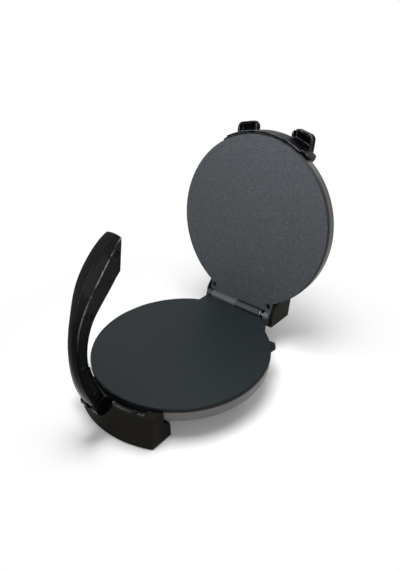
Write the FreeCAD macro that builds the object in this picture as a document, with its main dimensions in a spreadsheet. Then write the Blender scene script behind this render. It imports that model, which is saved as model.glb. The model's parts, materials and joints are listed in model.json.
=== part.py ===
"""Electric flatbread press: two round heated plates on a rear hinge, squeezed shut by a tall front lever.

Every piece is drawn in the press frame, whose origin is the centre of the lower cooking face, with +X to
the right as seen from the lever, +Y towards the hinge and +Z up. The lid is drawn shut. Placements then
lift the press onto its feet, so that the table is at z = 0, and turn the lid back to its open stop.
"""

import FreeCAD, Part
import math
import os
import Sketcher
from FreeCAD import Placement, Rotation, Vector

# Driving sizes in millimetres and degrees
SIZES = {
    # cooking plates
    "plate_height": 41.0,
    "plate_radius": 100.0,
    "plate_thickness": 4.0,
    "plate_gap": 1.0,
    "rim_round": 1.2,
    "locator_clearance": 2.0,
    "locator_wall": 2.0,
    "locator_depth": 2.5,
    "boss_circle": 46.0,
    "boss_radius": 5.0,
    "boss_length": 8.4,
    "lift_tab_reach": 5.3,
    "lift_tab_angle": 40.5,
    # heating coils, reflectors and pressed steel pans
    "coil_radius": 67.0,
    "coil_tube": 3.25,
    "coil_clearance": 0.35,
    "coil_gap_angle": 40.0,
    "coil_rib": 2.5,
    "coil_rib_depth": 4.0,
    "coil_pin_radius": 2.0,
    "coil_pin_length": 10.0,
    "reflector_inset": 11.5,
    "reflector_sheet": 0.8,
    "pan_inset": 0.5,
    "pan_draft": 1.0,
    "pan_depth": 13.0,
    "pan_sheet": 0.7,
    "pan_corner": 2.5,
    "dimple_radius": 8.0,
    # hinge
    "hinge_offset": 6.3,
    "hinge_rise": 1.3,
    "lid_open_angle": 100.3,
    "knuckle_radius": 6.4,
    "knuckle_gap": 0.4,
    "hinge_pin_radius": 2.5,
    "running_clearance": 0.05,
    "swing_clearance": 0.5,
    "lower_tongue_half": 48.0,
    "tongue_step": 2.0,
    "tongue_overlap": 20.0,
    "left_knuckle": 7.0,
    "middle_joint": 2.0,
    "clip_bay": 7.0,
    "lid_lug_width": 7.0,
    "clip_radius": 5.2,
    "clip_width": 1.5,
    # screws
    "screw_radius": 1.5,
    "screw_head": 3.0,
    "screw_head_height": 2.0,
    "small_screw_radius": 1.2,
    "small_screw_head": 2.2,
    "small_screw_sink": 1.0,
    "bolt_radius": 2.0,
    "bolt_head": 3.6,
    "bolt_head_height": 2.4,
    "nut_radius": 3.8,
    "nut_height": 2.4,
    "thread_clearance": 0.02,
    "hole_clearance": 0.3,
    # front foot
    "foot_half_length": 55.0,
    "foot_rim": 10.8,
    "foot_flare": 4.0,
    "foot_clearance": 1.2,
    "foot_lip_drop": 3.5,
    "foot_wall": 3.2,
    "foot_shelf": 3.5,
    "foot_depth": 25.2,
    "saddle_gap": 7.0,
    "saddle_inset": 7.0,
    "front_bolt_end": 25.0,
    "front_bolt_inset": 10.0,
    "bolt_post_radius": 6.2,
    "pan_clearance": 0.8,
    "pad_radius": 5.8,
    "pad_height": 1.0,
    "pad_post_rim": 0.4,
    "front_pad_end": 11.0,
    "front_pad_inset": 18.0,
    # rear foot and its wiring bay
    "rear_half_width": 36.0,
    "rear_depth": 37.0,
    "rear_overhang": 6.7,
    "stop_gap": 0.514,
    "rear_bolt_end": 14.0,
    "rear_bolt_inset": 10.0,
    "rear_pad_end": 12.0,
    "rear_pad_inset": 11.0,
    "cover_sheet": 2.0,
    "cover_post_radius": 4.0,
    "cover_post_gap": 0.2,
    "cover_post_inset": 16.0,
    "inlet_end": 14.0,
    "inlet_height": 11.0,
    "inlet_bore": 3.2,
    "inlet_sleeve": 5.0,
    "inlet_flange": 7.5,
    "inlet_flange_sheet": 2.0,
    "terminal_half_width": 15.0,
    "terminal_depth": 12.0,
    "terminal_height": 11.0,
    "terminal_inset": 16.0,
    # lever pivot
    "pivot_overhang": 8.0,
    "pivot_rise": 5.0,
    "pivot_pin_radius": 3.0,
    "lug_half": 4.0,
    "lug_head": 7.5,
    "lug_clearance": 0.3,
    "strap_sheet": 2.5,
    "strap_drop": 9.0,
    "strap_width": 6.8,
    "strap_angle": 23.0,
    "strap_screw_angle": 17.0,
    # lever
    "lever_arc_radius": 130.0,
    "lever_foot_front": 11.36004,
    "lever_foot_rise": 5.53738,
    "barrel_radius": 10.0,
    "barrel_half": 12.0,
    "barrel_wall": 2.2,
    "lug_room": 5.0,
    "lever_foot_angle": -20.0,
    "lever_waist_angle": 3.0,
    "lever_flare_angle": 16.0,
    "lever_grip_angle": 42.0,
    "lever_tip_angle": 59.7,
    "lever_heel_angle": 47.0,
    "foot_end_thickness": 15.6,
    "waist_thickness": 13.4,
    "grip_thickness": 20.2,
    "foot_end_half": 10.7,
    "waist_half": 7.7,
    "grip_half": 13.3,
    "tip_half": 10.3,
    "lever_crown": 0.8,
    "lever_outer_edge": 2.2,
    "lever_inner_edge": 3.5,
    "lever_wall": 2.6,
    "lever_foot_solid": 7.6,
    "lever_tip_solid": 6.0,
    "lever_post_radius": 4.6,
    "foot_post_angle": 5.0,
    "waist_post_angle": 2.5,
    "grip_post_angle": 17.0,
    "tip_post_angle": 7.1,
    "tip_post_depth": 6.5,
    "screw_sink": 3.0,
    "screw_sink_radius": 3.3,
    # lid brackets
    "bracket_clearance": 0.8,
    "bracket_wall": 2.4,
    "bracket_half_angle": 34.0,
    "bracket_end_angle": 1.4,
    "bracket_skirt_angle": 28.4,
    "bracket_skirt_height": 8.0,
    "bracket_drop": 0.6,
    "shoulder_rise": 6.0,
    "crest_rise": 10.5,
    "crest_inset": 3.3,
    "bracket_depth": 27.8,
    "bracket_back_rise": 7.5,
    "ear_near_length": 8.2,
    "ear_far_length": 2.2,
    "ear_near": 23.4,
    "ear_far": 50.0,
    "ear_rise": 5.0,
    "ear_height": 9.5,
    "ear_wall": 2.2,
    "ear_round": 7.0,
    "ear_back_round": 3.0,
    "bracket_screw_across": 10.6,
    "bracket_screw_drop": 4.5,
    "housing_clearance": 0.6,
    "housing_cheek": 2.6,
    "housing_lap": 17.5,
    "housing_rise": 17.0,
    "housing_overhang": 4.7,
    "housing_bevel_drop": 7.4,
    "skirt_overhang": 10.8,
    "housing_skirt_drop": 0.6,
    "housing_wall": 3.0,
    "tongue_screw_end": 4.5,
    "tongue_screw_lap": 13.5,
    "lamp_across": 12.0,
    "lamp_radius": 3.5,
    "lamp_proud": 1.2,
    # control pieces on the plates
    "thermostat_radius": 10.0,
    "thermostat_height": 5.0,
    "fuse_length": 16.0,
    "fuse_radius": 2.4,
    "fuse_back": 25.0,
}

# Sizes that follow from the driving ones
FOLLOWING = {
    "shell_top": "plate_gap + plate_thickness + pan_depth",
    "pan_radius": "plate_radius - pan_inset",
    "locator_radius": "pan_radius - pan_sheet - locator_clearance",
    "reflector_radius": "pan_radius - reflector_inset",
    "hinge_back": "plate_radius + hinge_offset",
    "upper_tongue_half": "lower_tongue_half - tongue_step",
    "tongue_root": "plate_radius - tongue_overlap",
    "left_joint": "lower_tongue_half - left_knuckle",
    "right_joint": "upper_tongue_half - lid_lug_width - clip_bay",
    "foot_inner_radius": "plate_radius + foot_clearance",
    "foot_top_radius": "foot_inner_radius + foot_rim",
    "foot_base_radius": "foot_top_radius + foot_flare",
    "foot_back": "foot_inner_radius - foot_depth",
    "saddle_drop": "plate_thickness + pan_depth + saddle_gap",
    "saddle_radius": "foot_inner_radius - saddle_inset",
    "front_bolt_across": "foot_half_length - front_bolt_end",
    "front_bolt_along": "foot_back + front_bolt_inset",
    "pad_post_radius": "pad_radius + pad_post_rim",
    "front_pad_across": "foot_half_length - front_pad_end",
    "front_pad_along": "foot_base_radius - front_pad_inset",
    "rear_back": "hinge_back + rear_overhang",
    "rear_front": "rear_back - rear_depth",
    "housing_skirt_back": "hinge_back + skirt_overhang",
    "lid_stop_drop": "sin(lid_open_angle) * (housing_skirt_back - hinge_back)"
                     " + cos(lid_open_angle) * (housing_skirt_drop + hinge_rise) - hinge_rise + stop_gap",
    "rear_bolt_across": "rear_half_width - rear_bolt_end",
    "rear_bolt_along": "rear_front + rear_bolt_inset",
    "rear_pad_across": "rear_half_width - rear_pad_end",
    "rear_pad_along": "rear_back - rear_pad_inset",
    "cover_post_across": "rear_half_width - foot_wall - cover_post_radius - cover_post_gap",
    "cover_post_along": "rear_front + cover_post_inset",
    "inlet_across": "rear_half_width - inlet_end",
    "inlet_drop": "plate_height - inlet_height",
    "terminal_front": "rear_front + terminal_inset",
    "pivot_front": "foot_top_radius + pivot_overhang",
    "lever_centre_back": "lever_arc_radius * cos(lever_foot_angle) - lever_foot_front",
    "lever_centre_up": "lever_foot_rise - lever_arc_radius * sin(lever_foot_angle)",
    "lever_slot_radius": "lug_head + lug_room",
    "bracket_inner_radius": "plate_radius + bracket_clearance",
    "bracket_shoulder": "shell_top + shoulder_rise",
    "bracket_crest": "shell_top + crest_rise",
    "bracket_crest_radius": "bracket_inner_radius - crest_inset",
    "bracket_back_radius": "bracket_inner_radius - bracket_depth",
    "bracket_back_height": "shell_top + bracket_back_rise",
    "ear_near_reach": "bracket_inner_radius + bracket_wall + ear_near_length",
    "ear_far_reach": "bracket_inner_radius + bracket_wall + ear_far_length",
    "ear_floor": "shell_top + ear_rise",
    "bracket_screw_height": "shell_top - bracket_screw_drop",
    "housing_half": "lower_tongue_half + housing_clearance + housing_cheek",
    "housing_front": "hinge_back - housing_lap",
    "housing_top": "shell_top + housing_rise",
    "housing_back": "hinge_back + housing_overhang",
    "tongue_screw_across": "upper_tongue_half - tongue_screw_end",
    "tongue_screw_along": "hinge_back - tongue_screw_lap",
}

PAN_SCREWS = 3
COIL_SEAT_GAP = 0.05
THROUGH = 300.0
BELOW, ABOVE = -1, 1

doc = FreeCAD.newDocument("flatbread_press")
sheet = doc.addObject("Spreadsheet::Sheet", "dims")
cells = {alias: str(number) for alias, number in SIZES.items()}
cells.update((alias, f"={formula}") for alias, formula in FOLLOWING.items())
for row, (alias, cell) in enumerate(cells.items(), start=1):
    sheet.set(f"A{row}", alias)
    sheet.set(f"B{row}", cell)
    sheet.setAlias(f"B{row}", alias)
doc.recompute()


class Size:
    """A length, ratio or angle: its number now, and the sheet expression that gives it."""

    def __init__(self, value, text=None):
        self.value = float(value)
        self.text = text if text else f"({self.value!r})"

    def joined(self, sign, other, value):
        return Size(value, f"({self.text} {sign} {other.text})")

    def __add__(self, other):
        other = size(other)
        return self.joined("+", other, self.value + other.value)

    def __sub__(self, other):
        other = size(other)
        return self.joined("-", other, self.value - other.value)

    def __mul__(self, other):
        other = size(other)
        return self.joined("*", other, self.value * other.value)

    def __truediv__(self, other):
        other = size(other)
        return self.joined("/", other, self.value / other.value)

    def __radd__(self, other):
        return size(other) + self

    def __rsub__(self, other):
        return size(other) - self

    def __rmul__(self, other):
        return size(other) * self

    def __neg__(self):
        return Size(-self.value, f"(-{self.text})")

    def __float__(self):
        return self.value


def size(amount):
    return amount if isinstance(amount, Size) else Size(amount)


def sin(angle):
    angle = size(angle)
    return Size(math.sin(math.radians(angle.value)), f"sin({angle.text})")


def cos(angle):
    angle = size(angle)
    return Size(math.cos(math.radians(angle.value)), f"cos({angle.text})")


def root(amount):
    return Size(math.sqrt(amount.value), f"sqrt({amount.text})")


class Dims:
    """The sheet's sizes by name."""

    def __getattr__(self, alias):
        return Size(getattr(sheet, alias), f"dims.{alias}")


D = Dims()


def bind(thing, prop, amount):
    """Gives a property its sheet expression."""
    thing.setExpression(prop, size(amount).text)


def polar(radius, angle):
    """The point at this radius and this angle, counted from +X towards +Y."""
    return radius * cos(angle), radius * sin(angle)


def front_polar(radius, angle):
    """The point at this radius and this angle, counted from -Y towards +X."""
    return radius * sin(angle), -radius * cos(angle)


def chord(radius, across):
    """How far from the centre a circle's edge is, this far across from the middle."""
    return root(radius * radius - size(across) * size(across))


# Sketches and features

def new_body(label):
    body = doc.addObject("PartDesign::Body", label)
    body.Label = label
    return body


def new_sketch(body, role, offset=0.0):
    sketch = body.newObject("Sketcher::SketchObject", f"{body.Label}_sketch")
    plane = next(feature for feature in body.Origin.OriginFeatures if feature.Role == role)
    sketch.AttachmentSupport = [(plane, "")]
    sketch.MapMode = "FlatFace"
    bind(sketch, "AttachmentOffset.Base.z", offset)
    return sketch


def fix(sketch, kind, amount, *where):
    """Adds a driving dimension and ties it to the sheet."""
    amount = size(amount)
    number = sketch.addConstraint(Sketcher.Constraint(kind, *where, amount.value))
    bind(sketch, f"Constraints[{number}]", amount)


def fix_point(sketch, geometry, end, point):
    fix(sketch, "DistanceX", point[0], -1, 1, geometry, end)
    fix(sketch, "DistanceY", point[1], -1, 1, geometry, end)


def draw_circle(sketch, centre, radius):
    middle = Vector(float(centre[0]), float(centre[1]), 0)
    number = sketch.addGeometry(Part.Circle(middle, Vector(0, 0, 1), float(radius)))
    fix(sketch, "Radius", radius, number)
    fix_point(sketch, number, 3, centre)


def arc_between(start, end, radius):
    """The arc from start to end with its centre on the left, or on the right where the radius is negative."""
    half = (end - start) * 0.5
    left = Vector(-half.y, half.x, 0).normalize()
    reach = math.sqrt(radius * radius - half.Length ** 2)
    middle = start + half + left * math.copysign(reach, radius)
    first, last = (start, end) if radius > 0 else (end, start)
    angles = [math.atan2(point.y - middle.y, point.x - middle.x) for point in (first, last)]
    return Part.ArcOfCircle(Part.Circle(middle, Vector(0, 0, 1), abs(radius)), *angles)


def draw_outline(sketch, points):
    """A closed outline. A point is (across, up), or (across, up, radius) where an arc leaves it."""
    places = [Vector(float(point[0]), float(point[1]), 0) for point in points]
    ends = []
    for index, point in enumerate(points):
        start = places[index]
        end = places[(index + 1) % len(points)]
        if len(point) == 3:
            number = sketch.addGeometry(arc_between(start, end, float(point[2])))
            fix(sketch, "Radius", abs_size(point[2]), number)
            ends.append((number, 1, 2) if float(point[2]) > 0 else (number, 2, 1))
        else:
            ends.append((sketch.addGeometry(Part.LineSegment(start, end)), 1, 2))
    for index, point in enumerate(points):
        number, first, _ = ends[index]
        before, _, last = ends[index - 1]
        sketch.addConstraint(Sketcher.Constraint("Coincident", before, last, number, first))
        fix_point(sketch, number, first, point)


def abs_size(amount):
    amount = size(amount)
    return amount if amount.value > 0 else -amount


def draw_sector(sketch, inner, outer, start, end):
    """A piece of a ring between two angles counted from -Y towards +X."""
    draw_outline(sketch, [
        (*front_polar(inner, start), inner),
        front_polar(inner, end),
        (*front_polar(outer, end), -outer),
        front_polar(outer, start),
    ])


def rectangle(left, low, right, high):
    return [(left, low), (right, low), (right, high), (left, high)]


def pad(body, sketch, length, back=False, both=False):
    feature = body.newObject("PartDesign::Pad", f"{body.Label}_pad")
    feature.Profile = sketch
    feature.Reversed = back
    feature.Midplane = both
    bind(feature, "Length", length)
    return feature


def cut(body, sketch, depth, back=False, both=False):
    """A pocket along the sketch's normal, against it, or half each way."""
    feature = body.newObject("PartDesign::Pocket", f"{body.Label}_pocket")
    feature.Profile = sketch
    feature.Reversed = not back
    feature.Midplane = both
    bind(feature, "Length", depth)
    return feature


def revolve(body, sketch, angle=360.0):
    """Turns a sketch about its own vertical axis, half the angle each way."""
    feature = body.newObject("PartDesign::Revolution", f"{body.Label}_turn")
    feature.Profile = sketch
    feature.ReferenceAxis = (sketch, ["V_Axis"])
    feature.Midplane = True
    bind(feature, "Angle", angle)
    return feature


def groove(body, sketch, angle):
    """Cuts a sketch turned about its own vertical axis, half the angle each way."""
    feature = body.newObject("PartDesign::Groove", f"{body.Label}_groove")
    feature.Profile = sketch
    feature.ReferenceAxis = (sketch, ["V_Axis"])
    feature.Midplane = True
    bind(feature, "Angle", angle)
    return feature


def round_edges(body, radius, wanted):
    """Fillets the edges that the test picks on the body so far."""
    doc.recompute()
    base = body.Tip
    edges = [f"Edge{n}" for n, edge in enumerate(base.Shape.Edges, start=1) if wanted(edge)]
    if not edges:
        raise ValueError(f"{body.Label}: no edge to round")
    feature = body.newObject("PartDesign::Fillet", f"{body.Label}_round")
    feature.Base = (base, edges)
    bind(feature, "Radius", radius)
    return feature


def edge_on(height, radius):
    """Picks edges of this radius at this height."""
    def wanted(edge):
        round_edge = isinstance(edge.Curve, Part.Circle) and abs(edge.Curve.Radius - float(radius)) < 0.01
        box = edge.BoundBox
        return round_edge and abs(box.ZMin - float(height)) < 0.01 and box.ZLength < 0.01
    return wanted


def stand(thing):
    """Lifts a piece of the base from the press frame onto the table's frame."""
    bind(thing, "Placement.Base.z", D.plate_height)
    return thing


def set_on_lid(thing):
    """Turns a piece that is drawn with the lid shut back to the lid's open stop."""
    thing.Placement = Placement(Vector(), Rotation(Vector(-1, 0, 0), float(D.lid_open_angle)))
    swing_cos = cos(D.lid_open_angle)
    swing_sin = sin(D.lid_open_angle)
    bind(thing, "Placement.Rotation.Angle", D.lid_open_angle)
    bind(thing, "Placement.Base.y", D.hinge_back - swing_cos * D.hinge_back - swing_sin * D.hinge_rise)
    bind(thing, "Placement.Base.z",
         D.plate_height + D.hinge_rise + swing_sin * D.hinge_back - swing_cos * D.hinge_rise)
    return thing


def depth(side, amount):
    """The height of a level this far behind the cooking face of the lower or upper plate."""
    return -size(amount) if side == BELOW else D.plate_gap + amount


# Levels, counted from a cooking face towards the outside
boss_end = D.plate_thickness + D.boss_length
reflector_end = boss_end + D.reflector_sheet
pan_end = D.plate_thickness + D.pan_depth
foot_base = -(D.plate_height - D.pad_height)
shelf_under = -(pan_end + D.foot_shelf)
tongue_edge = D.hinge_back - D.knuckle_radius - D.swing_clearance


def ring_places(circle, count=PAN_SCREWS):
    """Places spread round a circle, the first of them towards the hinge."""
    return [polar(circle, 90.0 + 360.0 * index / count) for index in range(count)]


# Fasteners

def screw_master(label, shank, length, head, head_height):
    """A pan head screw that points up from z = 0, with its head below."""
    body = new_body(f"{label}_master")
    sketch = new_sketch(body, "XZ_Plane")
    draw_outline(sketch, [
        (0, -head_height), (head * 0.8, -head_height), (head, -head_height * 0.6),
        (head, 0), (shank, 0), (shank, length), (0, length),
    ])
    revolve(body, sketch)
    return body


def group(label, master, places, turn=None):
    """Copies of one piece at (x, y, z) places, kept as one sub-part of separate solids."""
    copies = []
    for index, place in enumerate(places):
        copy = doc.addObject("App::Link", f"{label}_{index}")
        copy.LinkedObject = master
        copy.LinkTransform = False
        turned = turn[index] if turn else Rotation()
        copy.Placement = Placement(Vector(), turned)
        for axis, amount in zip("xyz", place):
            bind(copy, f"Placement.Base.{axis}", amount)
        copies.append(copy)
    compound = doc.addObject("Part::Compound", label)
    compound.Label = label
    compound.Links = copies
    return compound


UPSIDE_DOWN = Rotation(Vector(1, 0, 0), 180)


def paired(across, along, height):
    """A left and a right place."""
    return [(-across, along, height), (across, along, height)]


# Cooking plates

def cooking_plate(label, side, tongue_half, knuckles):
    """A cast disc with coil ribs, screw bosses, and a hinge tongue that carries its knuckles."""
    body = new_body(label)
    away = side == BELOW
    face = depth(side, 0)
    back = depth(side, D.plate_thickness)
    locator_inner = D.locator_radius - D.locator_wall
    groove = D.coil_tube + D.coil_clearance
    ribs = [
        (D.locator_radius, locator_inner, D.locator_depth),
        (D.coil_radius + groove + D.coil_rib, D.coil_radius + groove, D.coil_rib_depth),
        (D.coil_radius - groove, D.coil_radius - groove - D.coil_rib, D.coil_rib_depth),
    ]
    profile = [(0, face), (D.plate_radius, face), (D.plate_radius, back)]
    for outer, inner, height in ribs:
        tip = depth(side, D.plate_thickness + height)
        profile += [(outer, back), (outer, tip), (inner, tip), (inner, back)]
    profile.append((0, back))
    sketch = new_sketch(body, "XZ_Plane")
    draw_outline(sketch, profile)
    revolve(body, sketch)
    round_edges(body, D.rim_round, edge_on(face, D.plate_radius))

    sketch = new_sketch(body, "XY_Plane")
    draw_outline(sketch, rectangle(-tongue_half, tongue_edge, tongue_half, D.hinge_back))
    cut(body, sketch, THROUGH, both=True)
    sketch = new_sketch(body, "XY_Plane", face)
    outline = [(-tongue_half, D.tongue_root), (tongue_half, D.tongue_root), (tongue_half, tongue_edge)]
    for left, right in reversed(knuckles):
        outline += [(right, tongue_edge), (right, D.hinge_back), (left, D.hinge_back), (left, tongue_edge)]
    outline.append((-tongue_half, tongue_edge))
    draw_outline(sketch, without_repeats(outline))
    pad(body, sketch, D.plate_thickness, back=away)
    for left, right in knuckles:
        sketch = new_sketch(body, "YZ_Plane", left)
        draw_circle(sketch, (D.hinge_back, D.hinge_rise), D.knuckle_radius)
        pad(body, sketch, right - left)

    sketch = new_sketch(body, "XY_Plane", back)
    for place in ring_places(D.boss_circle):
        draw_circle(sketch, place, D.boss_radius)
    pad(body, sketch, D.boss_length, back=away)
    sketch = new_sketch(body, "XY_Plane", depth(side, boss_end))
    for place in ring_places(D.boss_circle):
        draw_circle(sketch, place, D.screw_radius + D.thread_clearance)
    cut(body, sketch, D.boss_length, back=not away)
    sketch = new_sketch(body, "YZ_Plane")
    draw_circle(sketch, (D.hinge_back, D.hinge_rise), D.hinge_pin_radius + D.running_clearance)
    cut(body, sketch, THROUGH, both=True)
    return body


def without_repeats(outline):
    """Drops points that repeat the one before, as where a knuckle ends flush with its tongue."""
    kept = []
    for point in outline:
        if not kept or math.dist(list(map(float, point)), list(map(float, kept[-1]))) > 0.001:
            kept.append(point)
    return kept


def lower_plate():
    knuckles = [(-D.lower_tongue_half, -D.left_joint), (-D.middle_joint, D.right_joint)]
    body = cooking_plate("lower_plate", BELOW, D.lower_tongue_half, knuckles)
    for left, right in knuckles:
        sketch = new_sketch(body, "YZ_Plane", left)
        draw_outline(sketch, rectangle(D.hinge_back - D.knuckle_radius, -D.plate_thickness,
                                       D.hinge_back - D.hinge_pin_radius * 1.5, D.hinge_rise))
        pad(body, sketch, right - left)
    sketch = new_sketch(body, "XY_Plane")
    inside = D.plate_radius - D.lift_tab_reach
    reach = D.plate_radius + D.lift_tab_reach
    draw_outline(sketch, [
        polar(inside, D.lift_tab_angle - 8), polar(reach, D.lift_tab_angle - 2),
        polar(reach, D.lift_tab_angle + 2), polar(inside, D.lift_tab_angle + 7),
    ])
    pad(body, sketch, D.plate_thickness, back=True)
    return stand(body)


def upper_plate():
    lug_start = D.upper_tongue_half - D.lid_lug_width
    knuckles = [(D.knuckle_gap - D.left_joint, -D.middle_joint - D.knuckle_gap),
                (lug_start, D.upper_tongue_half)]
    body = cooking_plate("upper_plate", ABOVE, D.upper_tongue_half, knuckles)
    sketch = new_sketch(body, "XY_Plane", D.plate_gap)
    for across in (-D.tongue_screw_across, D.tongue_screw_across):
        draw_circle(sketch, (across, D.tongue_screw_along), D.screw_head + D.hole_clearance)
    cut(body, sketch, D.screw_head_height)
    sketch = new_sketch(body, "XY_Plane", D.plate_gap)
    for across in (-D.tongue_screw_across, D.tongue_screw_across):
        draw_circle(sketch, (across, D.tongue_screw_along), D.screw_radius + D.hole_clearance)
    cut(body, sketch, THROUGH)
    return set_on_lid(body)


# Heating coils and the sheet metal behind the plates

def heating_coil(label, side):
    """A tubular ring element, open towards the hinge, with a terminal pin at each end."""
    level = depth(side, D.plate_thickness + D.coil_tube + COIL_SEAT_GAP)
    half_gap = D.coil_gap_angle / 2
    ring = doc.addObject("Part::Torus", f"{label}_ring")
    bind(ring, "Radius1", D.coil_radius)
    bind(ring, "Radius2", D.coil_tube)
    bind(ring, "Angle3", 360 - D.coil_gap_angle)
    ring.Placement = Placement(Vector(), Rotation(Vector(0, 0, 1), 90 + float(half_gap)))
    bind(ring, "Placement.Rotation.Angle", 90 + half_gap)
    bind(ring, "Placement.Base.z", level)
    pieces = [ring]
    for hand in (-1, 1):
        pin = doc.addObject("Part::Cylinder", f"{label}_pin")
        bind(pin, "Radius", D.coil_pin_radius)
        bind(pin, "Height", D.coil_pin_length)
        along = Vector(-hand * float(cos(half_gap)), float(sin(half_gap)), 0)
        pin.Placement = Placement(Vector(), Rotation(Vector(0, 0, 1), along))
        bind(pin, "Placement.Base.x", hand * D.coil_radius * sin(half_gap))
        bind(pin, "Placement.Base.y", D.coil_radius * cos(half_gap))
        bind(pin, "Placement.Base.z", level)
        pieces.append(pin)
    coil = doc.addObject("Part::MultiFuse", label)
    coil.Label = label
    coil.Shapes = pieces
    return coil


def reflector(label, side):
    """A thin heat shield against the bosses."""
    body = new_body(label)
    sketch = new_sketch(body, "XY_Plane", depth(side, boss_end))
    draw_circle(sketch, (0, 0), D.reflector_radius)
    for place in ring_places(D.boss_circle):
        draw_circle(sketch, place, D.screw_radius + D.hole_clearance)
    pad(body, sketch, D.reflector_sheet, back=side == BELOW)
    return body


def pressed_pan(label, side, bolt_places):
    """A drawn steel pan with dimples that reach in to the reflector."""
    body = new_body(label)
    inward = side == BELOW
    top = depth(side, D.plate_thickness)
    outside = depth(side, pan_end)
    inside = depth(side, pan_end - D.pan_sheet)
    low_radius = D.pan_radius - D.pan_draft
    sketch = new_sketch(body, "XZ_Plane")
    draw_outline(sketch, [
        (0, outside), (low_radius, outside), (D.pan_radius, top), (D.pan_radius - D.pan_sheet, top),
        (low_radius - D.pan_sheet, inside), (0, inside),
    ])
    revolve(body, sketch)
    round_edges(body, D.pan_corner, edge_on(outside, low_radius))
    round_edges(body, D.pan_corner - D.pan_sheet, edge_on(inside, low_radius - D.pan_sheet))
    sketch = new_sketch(body, "XY_Plane", outside)
    for place in ring_places(D.boss_circle):
        draw_circle(sketch, place, D.dimple_radius)
    pad(body, sketch, pan_end - reflector_end, back=not inward)
    sketch = new_sketch(body, "XY_Plane", outside)
    for place in ring_places(D.boss_circle):
        draw_circle(sketch, place, D.dimple_radius - D.pan_sheet)
    cut(body, sketch, pan_end - reflector_end - D.pan_sheet, back=not inward)
    sketch = new_sketch(body, "XY_Plane", outside)
    for place in ring_places(D.boss_circle):
        draw_circle(sketch, place, D.screw_radius + D.hole_clearance)
    for place in bolt_places:
        draw_circle(sketch, place, D.bolt_radius + D.hole_clearance)
    cut(body, sketch, D.pan_depth, back=not inward)
    return body


def upper_shell():
    """The lid's pan, with holes in its side for the front bracket's screws."""
    body = pressed_pan("upper_shell", ABOVE, [])
    sketch = new_sketch(body, "XZ_Plane", D.pan_radius * 1.1)
    for across in (-D.bracket_screw_across, D.bracket_screw_across):
        draw_circle(sketch, (across, D.bracket_screw_height), D.small_screw_radius + D.thread_clearance)
    cut(body, sketch, D.pan_radius * 0.2, back=True)
    return set_on_lid(body)


def pan_screws(label, side):
    """Screws that clamp a pan and its reflector to the plate's bosses."""
    seat = depth(side, reflector_end + D.pan_sheet)
    grip = D.pan_sheet + D.reflector_sheet + D.boss_length * 0.8
    master = screw_master(label, D.screw_radius, grip, D.screw_head, D.screw_head_height)
    places = [(*place, seat) for place in ring_places(D.boss_circle)]
    turn = None if side == BELOW else [UPSIDE_DOWN] * PAN_SCREWS
    return group(label, master, places, turn)


def thermostat():
    """A bimetal thermostat on the middle of the lower plate's back."""
    body = new_body("thermostat")
    top = depth(BELOW, D.plate_thickness)
    step = top - D.thermostat_height
    cap = step - D.thermostat_height * 0.5
    sketch = new_sketch(body, "XZ_Plane")
    draw_outline(sketch, [
        (0, top), (D.thermostat_radius, top), (D.thermostat_radius, step),
        (D.thermostat_radius * 0.7, step), (D.thermostat_radius * 0.7, cap), (0, cap),
    ])
    revolve(body, sketch)
    sketch = new_sketch(body, "XY_Plane", step)
    blade_half = D.thermostat_radius * 0.3
    blade_reach = D.thermostat_radius * 1.7
    draw_outline(sketch, rectangle(-blade_reach, -blade_half, blade_reach, blade_half))
    pad(body, sketch, D.thermostat_height * 0.2)
    return stand(body)


def thermal_fuse():
    """A sleeved thermal fuse under a clip on the upper plate's back."""
    body = new_body("thermal_fuse")
    level = depth(ABOVE, D.plate_thickness)
    sketch = new_sketch(body, "YZ_Plane")
    middle = level + D.fuse_radius
    draw_outline(sketch, [
        (D.fuse_back - D.fuse_radius, level), (D.fuse_back + D.fuse_radius, level),
        (D.fuse_back + D.fuse_radius, middle, D.fuse_radius * 1.05),
        (D.fuse_back - D.fuse_radius, middle),
    ])
    pad(body, sketch, D.fuse_length, both=True)
    sketch = new_sketch(body, "XY_Plane", level)
    clip_half = D.fuse_radius
    clip_reach = D.fuse_radius * 3
    draw_outline(sketch, rectangle(-clip_half, D.fuse_back - clip_reach, clip_half, D.fuse_back + clip_reach))
    pad(body, sketch, D.fuse_radius * 0.4)
    return set_on_lid(body)


# Feet

def wall_radius(level):
    """The front foot's outer radius at a height below the cooking face."""
    lip = -D.foot_lip_drop
    return D.foot_top_radius + (D.foot_base_radius - D.foot_top_radius) * (lip - level) / (lip - foot_base)


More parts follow.
